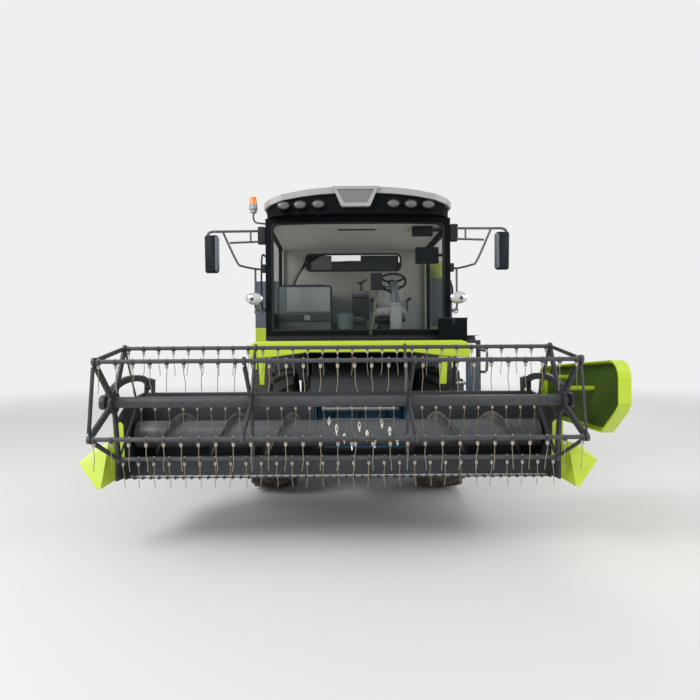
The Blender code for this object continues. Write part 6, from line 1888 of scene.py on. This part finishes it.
@dataclass
class Body:
    """The sides, the tank and its lids, the engine hood, the unloader and the frame's details."""

    half: float = 1.467

    def build(self) -> None:
        """Make every side, then the top and the unloader."""
        for side, letter in SIDES_OF:
            self.side(side, letter)
            self.arch(side, letter)
            self.tail(side, letter)
        self.tank()
        self.hood()
        self.unloader()
        self.feeder()
        self.axles()

    def pad(self, side: int, y0: float, y1: float, z0: float, z1: float, out: float,
            radius: float = 0.004) -> Form:
        """Make a flat pad on one side's doors.

        Args:
            side: 1 on the left, -1 on the right.
            y0: its front end.
            y1: its rear end.
            z0: its lower edge.
            z1: its upper edge.
            out: how far it stands out.
            radius: its edges' radius.

        Returns:
            The pad.
        """
        face = side * (self.half + 0.014)
        return block((face - side * 0.006, y0, z0), (face + side * out, y1, z1), radius, Axis.X)

    def side(self, side: int, letter: str) -> None:
        """Make one side's three doors with round edges, their vents, latches and reflectors.

        Args:
            side: 1 on the left, -1 on the right.
            letter: L or R.
        """
        x0, x1 = (side * v for v in (self.half - 0.004, self.half + 0.014))
        doors = [
            # y and z of the corners, front door first
            [(0.12, 1.20), (1.015, 1.20), (1.015, 2.865), (-0.080, 2.865), (-0.080, 1.50), (0.015, 1.36)],
            [(1.035, 1.20), (2.085, 1.20), (2.085, 2.865), (1.035, 2.865)],
            [(2.105, 1.20), (2.13, 1.20), (2.43, 1.43), (3.295, 1.545), (3.295, 2.865), (2.105, 2.865)],
        ]
        fit([prism(door, Axis.X, x0, x1) for door in doors],
            f"side_doors_{letter}", SIDES, bevel=0.007, smooth=30)
        pad = partial(self.pad, side)
        fit([pad(0.10, 0.95, 2.50, 2.52, 0.008), pad(1.12, 2.02, 2.50, 2.52, 0.008),
             pad(0.10, 0.95, 2.46, 2.475, 0.006), pad(1.12, 2.02, 2.46, 2.475, 0.006)],
            f"side_creases_{letter}", SLATE)
        slats = [pad(2.20, 3.20, z, z + 0.026, 0.014, 0.006) for z in np.arange(2.32, 2.78, 0.048)]
        slats += [pad(0.42, 0.90, z, z + 0.022, 0.012, 0.006) for z in np.arange(2.58, 2.78, 0.042)]
        fit(slats, f"side_vents_{letter}", SATIN)
        fit([pad(2.18, 3.22, 2.30, 2.80, 0.003), pad(0.40, 0.92, 2.565, 2.785, 0.003)],
            f"vent_screens_{letter}", SHADOW)
        latches = [pad(y, y + 0.12, z, z + 0.035, 0.018, 0.010)
                   for y, z in ((0.50, 1.30), (1.50, 1.30), (2.62, 1.56))]
        latches += [pad(y, y + 0.05, 2.80, 2.84, 0.010, 0.004) for y in (0.1, 0.85, 1.15, 1.95, 2.2, 3.2)]
        fit(latches, f"side_latches_{letter}", SATIN)
        fit([pad(y, y + 0.09, 1.235, 1.275, 0.008, 0.004) for y in (0.30, 1.20, 1.90)],
            f"side_reflectors_{letter}", AMBER)

    def arch(self, side: int, letter: str) -> None:
        """Make the lip over the front wheel: the part of a circle about its axle that is on the side.

        Args:
            side: 1 on the left, -1 on the right.
            letter: L or R.
        """
        _, y, z = joint_place(f"front_wheel_{letter}_spin")
        angle = np.radians(np.linspace(96, 24, 26))
        rows = np.stack([y + 0.905 * np.cos(angle), z + 0.905 * np.sin(angle)], axis=-1)
        rows = rows[rows[:, 0] > -0.10]
        lip = laid(rows, side * (self.half - 0.01), Axis.X)
        fit(swept(lip, rounded(0.012, 0.022, 0.006, 3), ACROSS), f"arch_lip_{letter}", SATIN)

    def tail(self, side: int, letter: str) -> None:
        """Make the lamp, the turn signal, their plate and the ribs at one side's rear end.

        Args:
            side: 1 on the left, -1 on the right.
            letter: L or R.
        """
        x, y = side * 1.25, 3.322
        fit(block((x - 0.10, y - 0.004, 2.30), (x + 0.10, y + 0.035, 2.44), 0.018, Axis.Y),
            f"tail_lamp_{letter}", RED_LENS)
        fit(block((x - 0.10, y - 0.004, 2.46), (x + 0.10, y + 0.035, 2.55), 0.018, Axis.Y),
            f"tail_turn_{letter}", AMBER)
        plate = block((x - 0.13, y - 0.004, 2.26), (x + 0.13, y + 0.012, 2.59), 0.010, Axis.Y)
        ribs = [block((x - 0.16, y - 0.004, z), (x + 0.16, y + 0.010, z + 0.018), 0.004, Axis.Y)
                for z in (1.70, 1.82, 1.94, 2.06)]
        fit([plate, *ribs], f"tail_plate_{letter}", SATIN)

    def tank(self) -> None:
        """Make the tank's rim, and the lids' ribs and handles."""
        top = 3.12
        fit(ring_plate(rounded(1.115, 0.765, 0.02, 4) + [0, 0.71],
                       rounded(1.088, 0.738, 0.012, 4) + [0, 0.71], Axis.Z, top - 0.05, top - 0.003),
            "tank_rim", CHARCOAL)
        for side, letter in SIDES_OF:
            ribs = []
            for y in (0.10, 0.50, 0.92, 1.32):
                spine = [(side * 1.05, y, top + 0.032), (side * 0.55, y, top + 0.064),
                         (side * 0.04, y, top + 0.081)]
                ribs.append(swept(curve(spine, 5), rounded(0.018, 0.006, 0.004, 3)))
            fit(ribs, f"lid_ribs_{letter}", SLATE, f"tank_lid_{letter}")
            grip = pipe(curve([(side * 0.10, 0.62, top + 0.078), (side * 0.10, 0.63, top + 0.115),
                               (side * 0.10, 0.79, top + 0.115), (side * 0.10, 0.80, top + 0.078)], 6),
                        0.007, 8, ACROSS)
            fit(grip, f"lid_grip_{letter}", SATIN, f"tank_lid_{letter}")

    def hood(self) -> None:
        """Make the hood's louvres, the exhaust, the intake, and the straw hood's and drawbar's parts."""
        fit([block((-0.70, 1.62 + 0.07 * k, 3.016), (0.20, 1.655 + 0.07 * k, 3.034), 0.007)
             for k in range(8)], "hood_louvres", SATIN)
        stack = turned([(0.055, 3.01), (0.060, 3.02), (0.060, 3.20), (0.072, 3.205), (0.072, 3.23),
                        (0.055, 3.235), (0.048, 3.20), (0.045, 3.06)], Axis.Z, (0.72, 2.05, 0), 36)
        fit(stack, "exhaust", ZINC)
        fit(turned([(0.09, 3.01), (0.09, 3.10), (0.15, 3.12), (0.16, 3.17), (0.13, 3.21), (0.04, 3.225),
                    (0.004, 3.226)], Axis.Z, (0.62, 1.74, 0), 40), "air_intake", SATIN)
        seams = [block((-0.745, 2.60, 1.60), (0.745, 2.615, 1.615), 0.003)]
        seams += [block((-0.66, 3.544, z), (0.66, 3.560, z + 0.025), 0.006, Axis.Y)
                  for z in (1.42, 1.50, 1.58)]
        fit(seams, "straw_hood_ribs", SLATE)
        fit(pipe(curve([(-0.18, 3.44, 1.97), (-0.17, 3.50, 1.99), (0.17, 3.50, 1.99), (0.18, 3.44, 1.97)],
                       6), 0.010, 10), "straw_hood_handle", SATIN)
        fit([turned([(0.185, 0.935), (0.19, 0.94), (0.19, 0.955), (0.06, 0.965), (0.05, 1.02),
                     (0.004, 1.021)], Axis.Z, (x, 3.70, 0), 40) for x in (-0.32, 0.32)],
            "spreader_discs", STEEL)
        fit(block((-0.20, 3.34, 1.13), (0.20, 3.366, 1.29), 0.008, Axis.Y), "drawbar_plate", CHARCOAL)
        corners = [(x, 3.365, z) for x in (-0.15, 0.15) for z in (1.16, 1.26)]
        fit(bolt(0.013, 0.012, Axis.Y).copies(corners), "drawbar_bolts", ZINC)

    def unloader(self) -> None:
        """Make the tube's clamp rings, its elbow's flange bolts and the rubber spout."""
        x, y, z, r = 1.30, 0.22, 3.16, 0.14
        rings = [turned([(r - 0.002, -0.02), (r + 0.010, -0.016), (r + 0.010, 0.016), (r - 0.002, 0.02)],
                        Axis.Y, (x, place, z), 44) for place in (0.44, 1.50, 2.60, 3.42)]
        fit(rings, "unloader_rings", ZINC, "unloader")
        fit(bolt(0.009, 0.009, Axis.Z).copies(ring_places(8, r + 0.008, Axis.Z, (x, y, 2.980), 0.2)),
            "unloader_bolts", ZINC, "unloader")
        path = curve([(x, 3.49, z + 0.001), (x, 3.62, z - 0.022), (x, 3.70, z - 0.10),
                      (x, 3.742, z - 0.215)], 8)
        fit(swept(path, circle(r * 1.05, 40), ACROSS, sizes=np.linspace(1.0, 1.035, len(path))),
            "unloader_spout", RUBBER, "unloader")
        cradle = [block((x - 0.10, 3.02, 2.885), (x + 0.10, 3.08, 2.93), 0.01),
                  block((x - 0.12, 3.035, 2.92), (x - 0.09, 3.065, 3.06), 0.008),
                  block((x + 0.09, 3.035, 2.92), (x + 0.12, 3.065, 3.06), 0.008)]
        fit(cradle, "unloader_cradle", SATIN)

    def feeder(self) -> None:
        """Make the feeder house's ribs, bolts and hoses."""
        ribs, bolts = [], []
        for share in (0.22, 0.48, 0.74):
            y = -2.26 + share * 1.66
            top = 1.34 + share * 0.52
            low = 0.72 + share * 0.62
            for s in (-1, 1):
                ribs.append(block((s * 0.556, y - 0.02, low + 0.05),
                                  (s * 0.585, y + 0.02, top - 0.05), 0.006))
                bolts.append(bolt(0.009, 0.009, Axis.X, s).moved(s * 0.585, y, (low + top) / 2))
        fit(ribs, "feeder_ribs", CHARCOAL, "header")
        fit(bolts, "feeder_bolts", ZINC, "header")
        for k, s in enumerate((-1, 1)):
            knots = [(s * 0.592, -2.20, 1.06), (s * 0.598, -1.85, 1.20),
                     (s * 0.596, -1.40, 1.32), (s * 0.590, -0.95, 1.50)]
            fit(pipe(curve(knots, 8), 0.014, 12, ACROSS), f"feeder_hose_{k}", SATIN, "header")

    def axles(self) -> None:
        """Make the final drives' bolts and the rear axle's centre pin."""
        bolts = []
        for side in (-1, 1):
            ring = ring_places(8, 0.105, Axis.X, (side * 0.80, -0.754, 0.81), 0.2)
            bolts.append(bolt(0.011, 0.012, Axis.X, side).copies(ring))
        fit(bolts, "drive_bolts", ZINC)
        fit(turned([(0.045, -0.085), (0.050, -0.080), (0.050, 0.080), (0.045, 0.085)],
                   Axis.Y, (0, 2.90, 0.585), 32), "axle_pin", ZINC)


def main() -> None:
    """Build the studio and every sub-assembly in order."""
    logging.basicConfig(level=logging.INFO, format="%(message)s")
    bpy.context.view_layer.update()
    Studio().build()
    dress_nodes()
    Reel().build()
    wheels = [
        # end, radius, width, rim radius, lugs, lug height, nuts
        ("front", 0.81, 0.59, 0.335, 18, 0.042, 10),
        ("rear", 0.485, 0.31, 0.235, 15, 0.026, 8),
    ]
    for end, radius, width, rim, lugs, lug_height, nuts in wheels:
        for side, letter in SIDES_OF:
            Wheel(f"{end}_{letter}", f"{end}_wheel_{letter}_spin", radius, width, rim, lugs, lug_height,
                  side, nuts).build()
    for part in (Header(), Cab(), Roof(), Outriggers(), Bumper(), Access(), Body()):
        part.build()


if __name__ == "__main__":
    main()
